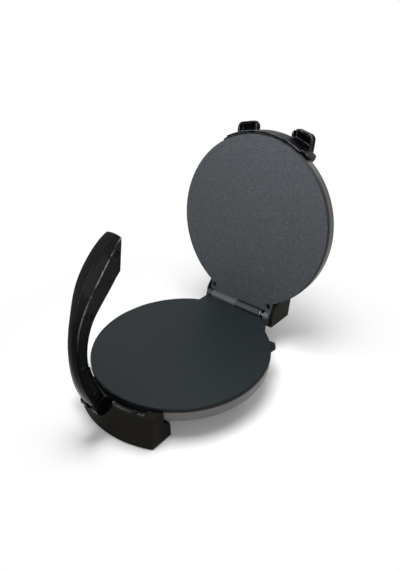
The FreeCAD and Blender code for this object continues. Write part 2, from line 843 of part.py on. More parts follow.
def front_foot():
    """A hollow moulded foot that wraps the front of the pan and carries the lever's pivot bracket."""
    body = new_body("front_foot")
    lip = -D.foot_lip_drop
    saddle = -D.saddle_drop
    strap_level = -D.strap_drop
    ceiling = saddle - D.foot_shelf
    sketch = new_sketch(body, "YZ_Plane")
    draw_outline(sketch, [
        (-D.foot_top_radius, lip), (-D.foot_base_radius, foot_base), (-D.foot_back / 2, foot_base),
        (-D.foot_back / 2, saddle), (-D.saddle_radius, saddle), (-D.foot_inner_radius, -pan_end),
        (-D.foot_inner_radius, lip),
    ])
    revolve(body, sketch, 120)
    sketch = new_sketch(body, "XY_Plane", saddle)
    for across in (-D.front_bolt_across, D.front_bolt_across):
        draw_circle(sketch, (across, -D.front_bolt_along), D.bolt_post_radius)
    pad(body, sketch, D.saddle_drop - pan_end)

    far = D.foot_base_radius * 1.2
    sketch = new_sketch(body, "XY_Plane")
    draw_outline(sketch, rectangle(-far, -D.foot_back, far, far))
    cut(body, sketch, THROUGH, both=True)
    sketch = new_sketch(body, "XY_Plane")
    draw_outline(sketch, rectangle(-far, -far, -D.foot_half_length, 0))
    draw_outline(sketch, rectangle(D.foot_half_length, -far, far, 0))
    cut(body, sketch, THROUGH, both=True)
    sketch = new_sketch(body, "XY_Plane", strap_level)
    draw_sector(sketch, D.plate_radius, D.foot_top_radius - D.foot_wall, -D.strap_angle - 1, D.strap_angle + 1)
    cut(body, sketch, D.strap_drop)

    half = D.foot_half_length - D.foot_wall
    outer = wall_radius(ceiling) - D.foot_wall
    sketch = new_sketch(body, "XY_Plane", foot_base)
    draw_outline(sketch, [
        (-half, -chord(outer, half), outer), (half, -chord(outer, half)),
        (half, -D.foot_back - D.foot_wall), (-half, -D.foot_back - D.foot_wall),
    ])
    cut(body, sketch, ceiling - foot_base)
    upper_ceiling = strap_level - D.foot_shelf
    outer = wall_radius(upper_ceiling) - D.foot_wall
    inner = D.foot_inner_radius + D.foot_wall
    sketch = new_sketch(body, "XY_Plane", ceiling)
    draw_outline(sketch, [
        (-half, -chord(outer, half), outer), (half, -chord(outer, half)),
        (half, -chord(inner, half), -inner), (-half, -chord(inner, half)),
    ])
    cut(body, sketch, upper_ceiling - ceiling)
    sketch = new_sketch(body, "XY_Plane", foot_base)
    for across in (-D.front_pad_across, D.front_pad_across):
        draw_circle(sketch, (across, -D.front_pad_along), D.pad_post_radius)
    pad(body, sketch, ceiling - foot_base)

    sketch = new_sketch(body, "XY_Plane", strap_level)
    slot_half = D.lug_half + D.swing_clearance
    draw_outline(sketch, rectangle(-slot_half, -far, slot_half, -D.foot_inner_radius))
    cut(body, sketch, D.strap_drop)
    sketch = new_sketch(body, "XY_Plane", ceiling)
    for across in (-D.front_bolt_across, D.front_bolt_across):
        draw_circle(sketch, (across, -D.front_bolt_along), D.bolt_head + D.hole_clearance)
    cut(body, sketch, shelf_under - ceiling)
    sketch = new_sketch(body, "XY_Plane", ceiling)
    for across in (-D.front_bolt_across, D.front_bolt_across):
        draw_circle(sketch, (across, -D.front_bolt_along), D.bolt_radius + D.hole_clearance)
    cut(body, sketch, THROUGH)
    sketch = new_sketch(body, "XY_Plane")
    for place in strap_places():
        draw_circle(sketch, place, D.screw_radius + D.thread_clearance)
    cut(body, sketch, pan_end, back=True)
    return stand(body)


def rear_foot():
    """A hollow foot under the hinge. Its raised back is the lid's stop and its hollow is the wiring bay."""
    body = new_body("rear_foot")
    sketch = new_sketch(body, "XY_Plane", foot_base)
    draw_outline(sketch, rectangle(-D.rear_half_width, D.rear_front, D.rear_half_width, D.rear_back))
    pad(body, sketch, -D.lid_stop_drop - foot_base)
    sketch = new_sketch(body, "XY_Plane", -pan_end)
    draw_circle(sketch, (0, 0), D.pan_radius + D.pan_clearance)
    cut(body, sketch, D.pan_depth)
    skirt_reach = D.housing_skirt_back - D.hinge_back
    skirt_fall = D.hinge_rise + D.housing_skirt_drop
    skirt_sweep = root(skirt_reach * skirt_reach + skirt_fall * skirt_fall)
    sketch = new_sketch(body, "XY_Plane", D.hinge_rise - skirt_sweep - D.swing_clearance)
    draw_outline(sketch, rectangle(-D.housing_half, D.rear_front, D.housing_half,
                                   D.rear_back - D.foot_wall))
    cut(body, sketch, D.lid_stop_drop)
    sketch = new_sketch(body, "XY_Plane", foot_base)
    bay_half = D.rear_half_width - D.foot_wall
    draw_outline(sketch, rectangle(-bay_half, D.rear_front + D.foot_wall,
                                   bay_half, D.rear_back - D.foot_wall))
    cut(body, sketch, shelf_under - foot_base)
    cover_top = foot_base + D.cover_sheet
    sketch = new_sketch(body, "XY_Plane", cover_top)
    for across in (-D.cover_post_across, D.cover_post_across):
        draw_circle(sketch, (across, D.cover_post_along), D.cover_post_radius)
    pad(body, sketch, shelf_under - cover_top)
    sketch = new_sketch(body, "XY_Plane", cover_top)
    for across in (-D.cover_post_across, D.cover_post_across):
        draw_circle(sketch, (across, D.cover_post_along), D.screw_radius + D.thread_clearance)
    cut(body, sketch, (shelf_under - cover_top) * 0.8)
    sketch = new_sketch(body, "XY_Plane")
    for across in (-D.rear_bolt_across, D.rear_bolt_across):
        draw_circle(sketch, (across, D.rear_bolt_along), D.bolt_radius + D.hole_clearance)
    cut(body, sketch, THROUGH, both=True)
    sketch = new_sketch(body, "XZ_Plane", -D.rear_back)
    draw_circle(sketch, (D.inlet_across, -D.inlet_drop), D.inlet_sleeve + D.thread_clearance)
    cut(body, sketch, D.foot_wall * 2)
    return stand(body)


def rear_cover():
    """The plate that closes the wiring bay from below."""
    body = new_body("rear_cover")
    half = D.rear_half_width - D.foot_wall - D.hole_clearance
    front = D.rear_front + D.foot_wall + D.hole_clearance
    back = D.rear_back - D.foot_wall - D.hole_clearance
    sketch = new_sketch(body, "XY_Plane", foot_base)
    draw_outline(sketch, rectangle(-half, front, half, back))
    for across in (-D.cover_post_across, D.cover_post_across):
        draw_circle(sketch, (across, D.cover_post_along), D.screw_radius + D.hole_clearance)
    pad(body, sketch, D.cover_sheet)
    sketch = new_sketch(body, "XY_Plane", foot_base)
    for across in (-D.cover_post_across, D.cover_post_across):
        draw_circle(sketch, (across, D.cover_post_along), D.screw_head + D.hole_clearance)
    cut(body, sketch, D.cover_sheet / 2)
    return stand(body)


def rear_cover_screws():
    length = D.cover_sheet / 2 + (shelf_under - foot_base) * 0.5
    master = screw_master("rear_cover_screws", D.screw_radius, length, D.screw_head, D.cover_sheet / 2)
    places = paired(D.cover_post_across, D.cover_post_along, foot_base + D.cover_sheet / 2)
    return stand(group("rear_cover_screws", master, places))


def foot_bolt_places(height):
    return paired(D.front_bolt_across, -D.front_bolt_along, height) + paired(
        D.rear_bolt_across, D.rear_bolt_along, height)


def foot_bolts():
    """Bolts that hold both feet to the pan's floor."""
    length = D.foot_shelf + D.pan_sheet + D.nut_height
    master = screw_master("foot_bolts", D.bolt_radius, length, D.bolt_head, D.bolt_head_height)
    return stand(group("foot_bolts", master, foot_bolt_places(shelf_under)))


def foot_nuts():
    """Weld nuts on the pan's floor."""
    master = new_body("foot_nuts_master")
    sketch = new_sketch(master, "XY_Plane")
    corners = [polar(D.nut_radius, 60.0 * index) for index in range(6)]
    draw_outline(sketch, corners)
    draw_circle(sketch, (0, 0), D.bolt_radius + D.thread_clearance)
    pad(master, sketch, D.nut_height)
    return stand(group("foot_nuts", master, foot_bolt_places(-(pan_end - D.pan_sheet))))


def foot_pads():
    """Rubber pads, the only pieces that touch the table."""
    master = new_body("foot_pads_master")
    sketch = new_sketch(master, "XZ_Plane")
    draw_outline(sketch, [(0, 0), (D.pad_radius * 0.92, 0), (D.pad_radius, D.pad_height * 0.4),
                          (D.pad_radius, D.pad_height), (0, D.pad_height)])
    revolve(master, sketch)
    floor = -D.plate_height
    places = paired(D.front_pad_across, -D.front_pad_along, floor) + paired(
        D.rear_pad_across, D.rear_pad_along, floor)
    return stand(group("foot_pads", master, places))


def terminal_block():
    """A ceramic connector block under the wiring bay's ceiling."""
    body = new_body("terminal_block")
    back = D.terminal_front + D.terminal_depth
    sketch = new_sketch(body, "XY_Plane", shelf_under)
    draw_outline(sketch, rectangle(-D.terminal_half_width, D.terminal_front, D.terminal_half_width, back))
    pad(body, sketch, D.terminal_height, back=True)
    sketch = new_sketch(body, "XY_Plane", shelf_under - D.terminal_height)
    bay = D.terminal_half_width / 3
    for index in (-1, 0, 1):
        middle = bay * 2 * index
        draw_outline(sketch, rectangle(middle - bay * 0.75, D.terminal_front + 2,
                                       middle + bay * 0.75, back - 2))
    cut(body, sketch, D.terminal_height * 0.5)
    return stand(body)


def cord_inlet():
    """The bush where a mains lead would enter the wiring bay."""
    body = new_body("cord_inlet")
    centre = (D.inlet_across, -D.inlet_drop)
    sketch = new_sketch(body, "XZ_Plane", -D.rear_back)
    draw_circle(sketch, centre, D.inlet_flange)
    draw_circle(sketch, centre, D.inlet_bore)
    pad(body, sketch, D.inlet_flange_sheet, back=True)
    sketch = new_sketch(body, "XZ_Plane", -D.rear_back)
    draw_circle(sketch, centre, D.inlet_sleeve)
    draw_circle(sketch, centre, D.inlet_bore)
    pad(body, sketch, D.foot_wall * 1.5)
    return stand(body)


# Lever pivot and hinge hardware

def strap_places():
    middle = D.foot_inner_radius + D.strap_width / 2
    return [front_polar(middle, -D.strap_screw_angle), front_polar(middle, D.strap_screw_angle)]


def pivot_bracket():
    """A curved steel strap on the foot with the lug that the lever turns on."""
    body = new_body("pivot_bracket")
    level = -D.strap_drop
    sketch = new_sketch(body, "XY_Plane", level)
    outer = D.foot_inner_radius + D.strap_width
    draw_sector(sketch, D.foot_inner_radius, outer, -D.strap_angle, D.strap_angle)
    pad(body, sketch, D.strap_sheet)
    head_front = -D.pivot_front - D.lug_head
    head_back = -D.pivot_front + D.lug_head
    sketch = new_sketch(body, "YZ_Plane")
    draw_outline(sketch, [
        (head_back, D.pivot_rise, D.lug_head * 1.0001), (head_front, D.pivot_rise, D.lug_head * 1.0001),
        (-D.pivot_front, D.pivot_rise - D.lug_head), (-outer, level),
        (-D.foot_inner_radius, level), (-D.foot_inner_radius, level + D.strap_sheet * 2),
    ])
    pad(body, sketch, D.lug_half * 2, both=True)
    sketch = new_sketch(body, "YZ_Plane")
    draw_circle(sketch, (-D.pivot_front, D.pivot_rise), D.pivot_pin_radius + D.thread_clearance)
    cut(body, sketch, THROUGH, both=True)
    sketch = new_sketch(body, "XY_Plane")
    for place in strap_places():
        draw_circle(sketch, place, D.screw_radius + D.hole_clearance)
    cut(body, sketch, THROUGH, both=True)
    return stand(body)


def pivot_bracket_screws():
    length = D.strap_sheet + D.foot_shelf
    master = screw_master("pivot_bracket_screws", D.screw_radius, length, D.screw_head,
                          D.screw_head_height)
    places = [(*place, D.strap_sheet - D.strap_drop) for place in strap_places()]
    return stand(group("pivot_bracket_screws", master, places, [UPSIDE_DOWN] * len(places)))


def cross_pin(label, radius, left, right, back, rise):
    """A plain steel pin along X."""
    body = new_body(label)
    sketch = new_sketch(body, "YZ_Plane", left)
    draw_circle(sketch, (back, rise), radius)
    pad(body, sketch, right - left)
    return stand(body)


def pivot_pin():
    half = D.barrel_half - D.barrel_wall - D.hole_clearance
    return cross_pin("pivot_pin", D.pivot_pin_radius, -half, half, -D.pivot_front, D.pivot_rise)


def hinge_pin():
    return cross_pin("hinge_pin", D.hinge_pin_radius, -D.lower_tongue_half, D.upper_tongue_half,
                     D.hinge_back, D.hinge_rise)


def hinge_clip():
    """The ring that keeps the hinge pin from walking out."""
    body = new_body("hinge_clip")
    sketch = new_sketch(body, "YZ_Plane", D.right_joint + D.knuckle_gap)
    draw_circle(sketch, (D.hinge_back, D.hinge_rise), D.clip_radius)
    draw_circle(sketch, (D.hinge_back, D.hinge_rise), D.hinge_pin_radius + D.thread_clearance)
    pad(body, sketch, D.clip_width)
    return stand(body)


# Lid brackets

def lid_front_bracket():
    """A moulded bridge over the lid's front edge with two hollow finger ears and a seat between them."""
    body = new_body("lid_front_bracket")
    shell_top = depth(ABOVE, pan_end)
    inner = D.bracket_inner_radius
    outer = inner + D.bracket_wall
    low = D.plate_gap + D.bracket_drop
    sketch = new_sketch(body, "YZ_Plane")
    draw_outline(sketch, [
        (-inner, low), (-outer, low), (-outer, D.bracket_shoulder),
        (-D.bracket_crest_radius, D.bracket_crest), (-D.bracket_back_radius, D.bracket_back_height),
        (-D.bracket_back_radius, shell_top), (-inner, shell_top),
    ])
    revolve(body, sketch, D.bracket_half_angle * 2)
    sketch = new_sketch(body, "YZ_Plane")
    back_inner = D.bracket_back_radius + D.bracket_wall
    draw_outline(sketch, [
        (-inner, shell_top), (-inner, D.bracket_shoulder - D.bracket_wall / 2),
        (-D.bracket_crest_radius, D.bracket_crest - D.bracket_wall),
        (-back_inner, D.bracket_back_height - D.bracket_wall), (-back_inner, shell_top),
    ])
    groove(body, sketch, (D.bracket_half_angle - D.bracket_end_angle) * 2)

    sketch = new_sketch(body, "XY_Plane", D.ear_floor)
    draw_ears(sketch, D.bracket_crest_radius, 0)
    pad(body, sketch, D.ear_height)
    round_edges(body, D.ear_round, ear_corner)
    round_edges(body, D.ear_back_round, ear_rim)
    sketch = new_sketch(body, "XY_Plane", D.ear_floor)
    draw_ears(sketch, outer, D.ear_wall)
    cut(body, sketch, D.ear_height - D.ear_wall)
    sketch = new_sketch(body, "XY_Plane")
    for hand in (-1, 1):
        ends = sorted([hand * D.bracket_skirt_angle, hand * D.bracket_half_angle * 1.2], key=float)
        draw_sector(sketch, D.plate_radius, outer + D.bracket_wall, *ends)
    cut(body, sketch, D.bracket_skirt_height)

    seat = bracket_screw_seat()
    for radius, length, inward in ((D.small_screw_head + D.hole_clearance, D.bracket_wall * 2, False),
                                   (D.small_screw_radius + D.hole_clearance, D.bracket_wall * 2, True)):
        sketch = new_sketch(body, "XZ_Plane", seat)
        for across in (-D.bracket_screw_across, D.bracket_screw_across):
            draw_circle(sketch, (across, D.bracket_screw_height), radius)
        cut(body, sketch, length, back=inward)
    return set_on_lid(body)


def bracket_screw_seat():
    """How far in front of the plate's axis the heads of the front bracket's screws bear."""
    outer = D.bracket_inner_radius + D.bracket_wall
    return chord(outer, D.bracket_screw_across) - D.small_screw_sink


def draw_ears(sketch, inner, inset):
    """Both ears in plan, mirrored about the middle: straight sides and tip, and an arc at the root."""
    near = D.ear_near + inset
    far = D.ear_far - inset
    draw_outline(sketch, [
        (near, -chord(inner, near), inner), (far, -chord(inner, far)),
        (far, -D.ear_far_reach + inset), (near, -D.ear_near_reach + inset),
    ])
    draw_outline(sketch, [
        (-far, -chord(inner, far), inner), (-near, -chord(inner, near)),
        (-near, -D.ear_near_reach + inset), (-far, -D.ear_far_reach + inset),
    ])


def ear_corner(edge):
    """The upright edges at the tips of the ears."""
    box = edge.BoundBox
    upright = box.ZLength > float(D.ear_height) * 0.9 and box.XLength < 0.01 and box.YLength < 0.01
    return upright and box.YMin < -float(D.ear_far_reach) + 0.1


def ear_rim(edge):
    """The outer edges of the ears' backs."""
    box = edge.BoundBox
    middle = edge.CenterOfMass
    level = abs(box.ZMin - float(D.ear_floor + D.ear_height)) < 0.01 and box.ZLength < 0.01
    root_radius = float(D.bracket_crest_radius)
    return level and math.hypot(middle.x, middle.y) > root_radius + 2


def front_bracket_screws():
    """Small screws through the bracket's wall into the side of the shell."""
    seat = bracket_screw_seat()
    length = seat - D.pan_radius + D.pan_draft + D.pan_sheet * 4
    master = screw_master("front_bracket_screws", D.small_screw_radius, length, D.small_screw_head,
                          D.small_screw_sink)
    into_shell = Rotation(Vector(0, 0, 1), Vector(0, 1, 0))
    places = paired(D.bracket_screw_across, -seat, D.bracket_screw_height)
    return set_on_lid(group("front_bracket_screws", master, places, [into_shell] * len(places)))


def housing_profile():
    """The rear housing's side view: a bevelled back over a skirt that hangs behind the hinge."""
    tongue_top = depth(ABOVE, D.plate_thickness)
    skirt_front = D.hinge_back + D.knuckle_radius + D.swing_clearance * 2
    above_hinge = D.hinge_rise + D.knuckle_radius + D.swing_clearance * 2
    bevel = D.housing_top - D.housing_bevel_drop
    return [
        (D.housing_front, D.housing_top), (D.housing_front, tongue_top), (tongue_edge, tongue_top),
        (tongue_edge, above_hinge), (D.hinge_back, above_hinge), (skirt_front, D.knuckle_radius),
        (skirt_front, -D.housing_skirt_drop), (D.housing_skirt_back, -D.housing_skirt_drop),
        (D.housing_back + D.housing_wall / 2, bevel), (D.housing_back, D.housing_top),
    ]


def lid_rear_bracket():
    """The housing over the hinge: it covers the wiring, carries the lamps and rests on the stop."""
    body = new_body("lid_rear_bracket")
    sketch = new_sketch(body, "YZ_Plane")
    draw_outline(sketch, housing_profile())
    pad(body, sketch, D.housing_half * 2, both=True)
    shell_top = depth(ABOVE, pan_end)
    for left, right in ((-D.housing_half, D.housing_cheek - D.housing_half),
                        (D.housing_half - D.housing_cheek, D.housing_half)):
        sketch = new_sketch(body, "YZ_Plane", left)
        draw_outline(sketch, [
            (D.housing_front, D.housing_top - D.housing_wall),
            (D.housing_front, depth(ABOVE, D.plate_thickness)), (tongue_edge, -D.housing_skirt_drop),
            (D.housing_skirt_back - D.housing_wall, -D.housing_skirt_drop),
            (D.housing_back, D.housing_top - D.housing_wall),
        ])
        pad(body, sketch, right - left)
    tongue_top = depth(ABOVE, D.plate_thickness)
    sketch = new_sketch(body, "XY_Plane", tongue_top)
    draw_circle(sketch, (0, 0), D.pan_radius + D.pan_clearance)
    cut(body, sketch, shell_top - tongue_top)
    sketch = new_sketch(body, "XY_Plane")
    bay_half = D.housing_half - D.housing_cheek - D.housing_wall
    bay_front = D.pan_radius + D.housing_wall
    draw_outline(sketch, rectangle(-bay_half, bay_front, bay_half, D.housing_back - D.housing_wall))
    cut(body, sketch, D.housing_top - D.housing_wall)
    sketch = new_sketch(body, "XY_Plane", tongue_top)
    for across in (-D.tongue_screw_across, D.tongue_screw_across):
        draw_circle(sketch, (across, D.tongue_screw_along), D.screw_radius + D.thread_clearance)
    cut(body, sketch, D.housing_top / 2)
    sketch = new_sketch(body, "XY_Plane", D.housing_top)
    for x, y in lamp_places():
        draw_circle(sketch, (x, y), D.lamp_radius)
    cut(body, sketch, D.housing_wall, back=True)
    return set_on_lid(body)


def lamp_places():
    along = (D.pan_radius + D.housing_back) / 2
    return [(-D.lamp_across, along), (D.lamp_across, along)]


def rear_bracket_screws():
    """Countersunk into the tongue from the cooking side, up into the rear housing."""
    seat = D.plate_gap + D.screw_head_height
    length = D.plate_thickness - D.screw_head_height + D.housing_top * 0.4
    master = screw_master("rear_bracket_screws", D.screw_radius, length, D.screw_head,
                          D.screw_head_height * 0.9)
    places = paired(D.tongue_screw_across, D.tongue_screw_along, seat)
    return set_on_lid(group("rear_bracket_screws", master, places))


def lamp_lenses():
    """Two indicator lenses in the rear housing's top."""
    master = new_body("lamp_lenses_master")
    radius = D.lamp_radius - D.thread_clearance
    sketch = new_sketch(master, "XZ_Plane")
    draw_outline(sketch, [(0, -D.housing_wall), (radius, -D.housing_wall), (radius, 0),
                          (radius * 0.6, D.lamp_proud), (0, D.lamp_proud)])
    revolve(master, sketch)
    places = [(x, y, D.housing_top) for x, y in lamp_places()]
    return set_on_lid(group("lamp_lenses", master, places))


# Lever, drawn about its pivot

def lever_point(radius, angle):
    """A point of the lever's side view, on an arc about the centre that its outer face is bent round."""
    turn = math.radians(angle)
    back = float(D.lever_centre_back) - radius * math.cos(turn)
    return Vector(0, back, float(D.lever_centre_up) + radius * math.sin(turn))


def ease(angle, start, end, low, high):
    """Eases from low at the start angle to high at the end angle."""
    share = min(max((angle - float(start)) / (float(end) - float(start)), 0.0), 1.0)
    return float(low) + (float(high) - float(low)) * share * share * (3 - 2 * share)


def lever_thickness(angle):
    if angle < float(D.lever_waist_angle):
        return ease(angle, D.lever_foot_angle, D.lever_waist_angle, D.foot_end_thickness, D.waist_thickness)
    return ease(angle, D.lever_waist_angle, D.lever_grip_angle, D.waist_thickness, D.grip_thickness)


def lever_half(angle):
    """Half the lever's width at an angle."""
    if angle < float(D.lever_flare_angle):
        return ease(angle, D.lever_foot_angle, D.lever_waist_angle, D.foot_end_half, D.waist_half)
    if angle < float(D.lever_heel_angle):
        return ease(angle, D.lever_flare_angle, D.lever_grip_angle, D.waist_half, D.grip_half)
    return ease(angle, D.lever_heel_angle, D.lever_tip_angle, D.grip_half, D.tip_half)


def lever_ring(outer, inner, outer_half, inner_half, inset):
    """A rounded section between an outer and an inner point, crowned on its outer side."""
    inward = (inner - outer).normalize()
    top = outer + inward * inset
    deep = (inner - outer).Length - 2 * inset
    wide = outer_half - inset
    base = inner_half - inset
    crown = float(D.lever_crown)
    edge = max(float(D.lever_outer_edge) - inset, 0.5)
    heel = max(float(D.lever_inner_edge) - inset, 0.5)
    bow = 1 - math.sqrt(0.5)
    shoulder = crown + edge

    def at(across, down):
        return top + Vector(across, 0, 0) + inward * down

    def bend(first, middle, last):
        return Part.Arc(at(*first), at(*middle), at(*last)).toShape()

    def line(first, last):
        return Part.LineSegment(at(*first), at(*last)).toShape()

    return Part.Wire([
        bend((edge - wide, crown), (0, 0), (wide - edge, crown)),
        bend((wide - edge, crown), (wide - edge * bow, crown + edge * bow), (wide, shoulder)),
        line((wide, shoulder), (base, deep - heel)),
        bend((base, deep - heel), (base - heel * bow, deep - heel * bow), (base - heel, deep)),
        line((base - heel, deep), (heel - base, deep)),
        bend((heel - base, deep), (heel * bow - base, deep - heel * bow), (-base, deep - heel)),
        line((-base, deep - heel), (-wide, shoulder)),
        bend((-wide, shoulder), (edge * bow - wide, crown + edge * bow), (edge - wide, crown)),
    ])


def lever_loft(inset, stations):
    """A skin through sections at (outer angle, inner angle) stations, drawn in by the inset."""
    radius = float(D.lever_arc_radius)
    rings = []
    for outer_angle, inner_angle in stations:
        outer = lever_point(radius, outer_angle)
        inner = lever_point(radius - lever_thickness(inner_angle), inner_angle)
        rings.append(lever_ring(outer, inner, lever_half(outer_angle), lever_half(inner_angle), inset))
    return Part.makeLoft(rings, True, False)


def lever_stations(foot_trim, tip_trim):
    """Section angles from the pivot end to the grip's slanted end, kept back from each by its trim."""
    foot = float(D.lever_foot_angle) + foot_trim
    grip = float(D.lever_grip_angle)
    tip = float(D.lever_tip_angle) - tip_trim
    heel = float(D.lever_heel_angle) - tip_trim
    plain = [foot + (grip - 4 - foot) * share for share in (0, 0.2, 0.4, 0.55, 0.7, 0.85, 1)]
    lean = [((grip - 4) + (tip - grip + 4) * share, (grip - 4) + (heel - grip + 4) * share)
            for share in (0.5, 1)]
    return [(angle, angle) for angle in plain] + lean


def cross_rod(radius, left, right, place):
    return Part.makeCylinder(radius, right - left, place + Vector(left, 0, 0), Vector(1, 0, 0))


def lever_screw_spots():
    """Where the lever's screws sit, as angles along it and depths below its outer face."""
    angles = [float(D.lever_foot_angle + D.foot_post_angle), float(D.lever_waist_angle - D.waist_post_angle),
              float(D.lever_grip_angle - D.grip_post_angle)]
    spots = [(angle, lever_thickness(angle) / 2) for angle in angles]
    spots.append((float(D.lever_tip_angle - D.tip_post_angle), float(D.tip_post_depth)))
    return [lever_point(float(D.lever_arc_radius) - deep, angle) for angle, deep in spots]


def lever_halves():
    """Two hollow half shells that meet on x = 0 and clasp the pivot lug between their barrels."""
    barrel_half = float(D.barrel_half)
    outside = lever_loft(0.0, lever_stations(0.0, 0.0))
    pivot = Vector(0, 0, 0)
    barrel = cross_rod(float(D.barrel_radius), -barrel_half, barrel_half, pivot)
    skin = outside.fuse(barrel)
    wide = float(D.grip_half) + 1
    posts = [cross_rod(float(D.lever_post_radius), -wide, wide, spot) for spot in lever_screw_spots()]
    inside = lever_stations(float(D.lever_foot_solid), float(D.lever_tip_solid))
    hollow = lever_loft(float(D.lever_wall), inside).cut(Part.makeCompound(posts))
    slot_half = float(D.lug_half + D.lug_clearance)
    slot = cross_rod(float(D.lever_slot_radius), -slot_half, slot_half, pivot)
    pin_half = barrel_half - float(D.barrel_wall)
    pin_hole = cross_rod(float(D.pivot_pin_radius + D.running_clearance), -pin_half, pin_half, pivot)
    block = skin.cut(hollow).cut(slot.fuse(pin_hole))
    reach = float(D.lever_arc_radius) * 2
    tapped = float(D.screw_radius + D.thread_clearance)
    clear = float(D.screw_radius + D.hole_clearance)
    for label, left in (("lever_left_half", -reach), ("lever_right_half", 0.0)):
        half = block.common(Part.makeBox(reach, reach * 2, reach * 2, Vector(left, -reach, -reach)))
        for spot, edge in zip(lever_screw_spots(), lever_screw_edges()):
            if left < 0:
                half = half.cut(cross_rod(tapped, -edge + float(D.lever_wall), 0.0, spot))
            else:
                seat = edge - float(D.screw_sink)
                half = half.cut(cross_rod(clear, 0.0, wide, spot))
                half = half.cut(cross_rod(float(D.screw_sink_radius), seat, wide, spot))
        feature = doc.addObject("Part::Feature", label)
        feature.Label = label
        feature.Shape = max(half.removeSplitter().Solids, key=lambda solid: solid.Volume)
        set_at_pivot(feature)


def lever_screw_edges():
    """How far the lever's side stands from its middle at each screw."""
    edges = []
    for spot in lever_screw_spots():
        up = spot.z - float(D.lever_centre_up)
        angle = math.degrees(math.atan2(up, float(D.lever_centre_back) - spot.y))
        edges.append(lever_half(angle))
    return edges


def set_at_pivot(thing):
    bind(thing, "Placement.Base.y", -D.pivot_front)
    bind(thing, "Placement.Base.z", D.plate_height + D.pivot_rise)
    return thing


def lever_screws():
    """Screws that draw the lever's halves together, sunk into its right side."""
    solids = []
    for spot, edge in zip(lever_screw_spots(), lever_screw_edges()):
        seat = edge - float(D.screw_sink)
        tip = -edge + float(D.lever_wall) * 2
        head_top = seat + float(D.screw_head_height)
        head = cross_rod(float(D.screw_head), seat, head_top, spot)
        solids.append(head.fuse(cross_rod(float(D.screw_radius), tip, seat, spot)).removeSplitter())
    feature = doc.addObject("Part::Feature", "lever_screws")
    feature.Label = "lever_screws"
    feature.Shape = Part.makeCompound([solid for shape in solids for solid in shape.Solids])
    return set_at_pivot(feature)


def build():
    bolt_spots = [(x, y) for x, y, _ in foot_bolt_places(0)]
    lower_plate()
    stand(heating_coil("lower_heating_coil", BELOW))
    stand(reflector("lower_reflector", BELOW))
    stand(pressed_pan("lower_pan", BELOW, bolt_spots))
    stand(pan_screws("pan_screws", BELOW))
    thermostat()
    front_foot()
    rear_foot()
    rear_cover()
    rear_cover_screws()
    foot_bolts()
    foot_nuts()
    foot_pads()
    terminal_block()
    cord_inlet()
    pivot_bracket()
    pivot_bracket_screws()
    pivot_pin()
    hinge_pin()
    hinge_clip()
    upper_plate()
    set_on_lid(heating_coil("upper_heating_coil", ABOVE))
    set_on_lid(reflector("upper_reflector", ABOVE))
    upper_shell()
    set_on_lid(pan_screws("shell_screws", ABOVE))
    thermal_fuse()
    lid_front_bracket()
    front_bracket_screws()
    lid_rear_bracket()
    rear_bracket_screws()
    lamp_lenses()
    lever_halves()
    lever_screws()


NODES = [
    "lower_plate", "lower_heating_coil", "lower_reflector", "lower_pan", "pan_screws", "thermostat",
    "front_foot", "rear_foot", "rear_cover", "rear_cover_screws", "foot_bolts", "foot_nuts", "foot_pads",
    "terminal_block", "cord_inlet", "pivot_bracket", "pivot_bracket_screws", "pivot_pin", "hinge_pin",
    "hinge_clip", "upper_plate", "upper_heating_coil", "upper_reflector", "upper_shell", "shell_screws",
    "thermal_fuse", "lid_front_bracket", "front_bracket_screws", "lid_rear_bracket",
    "rear_bracket_screws", "lamp_lenses", "lever_left_half", "lever_right_half", "lever_screws",
]


def export():
    """Checks every object of the document, then writes one file for each sub-part."""
    doc.recompute()
    faults = [thing.Label for thing in doc.Objects if {"Invalid", "Error"} & set(thing.State)]
    pieces = {label: doc.getObjectsByLabel(label)[0] for label in NODES}
    faults += [label for label, piece in pieces.items() if piece.Shape.isNull() or not piece.Shape.isValid()]
    if faults:
        raise RuntimeError(f"these failed: {faults}")
    os.makedirs("parts", exist_ok=True)
    for label, piece in pieces.items():
        piece.Shape.exportStep(f"parts/{label}.step")


build()
export()
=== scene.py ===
"""Electric flatbread press: finishes, rounded edges, screws, pads, lamps and a studio round the solids."""

import json
import math

import bmesh
import bpy
import numpy as np
from bpy.props import FloatProperty, FloatVectorProperty, IntProperty, PointerProperty
from mathutils import Matrix, Vector


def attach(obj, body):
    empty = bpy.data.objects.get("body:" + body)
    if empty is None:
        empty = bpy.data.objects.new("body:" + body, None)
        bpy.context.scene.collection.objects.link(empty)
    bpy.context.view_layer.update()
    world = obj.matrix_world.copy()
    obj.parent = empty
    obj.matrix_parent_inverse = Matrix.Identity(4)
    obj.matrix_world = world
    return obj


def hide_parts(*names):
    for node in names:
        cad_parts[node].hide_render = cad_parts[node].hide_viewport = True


bl_info = {
    "name": "Flatbread press",
    "version": (1, 0, 0),
    "blender": (4, 5, 0),
    "location": "View3D > Sidebar > Press",
    "description": "Dresses the packed flatbread press and sets it in a studio",
    "category": "Object",
}

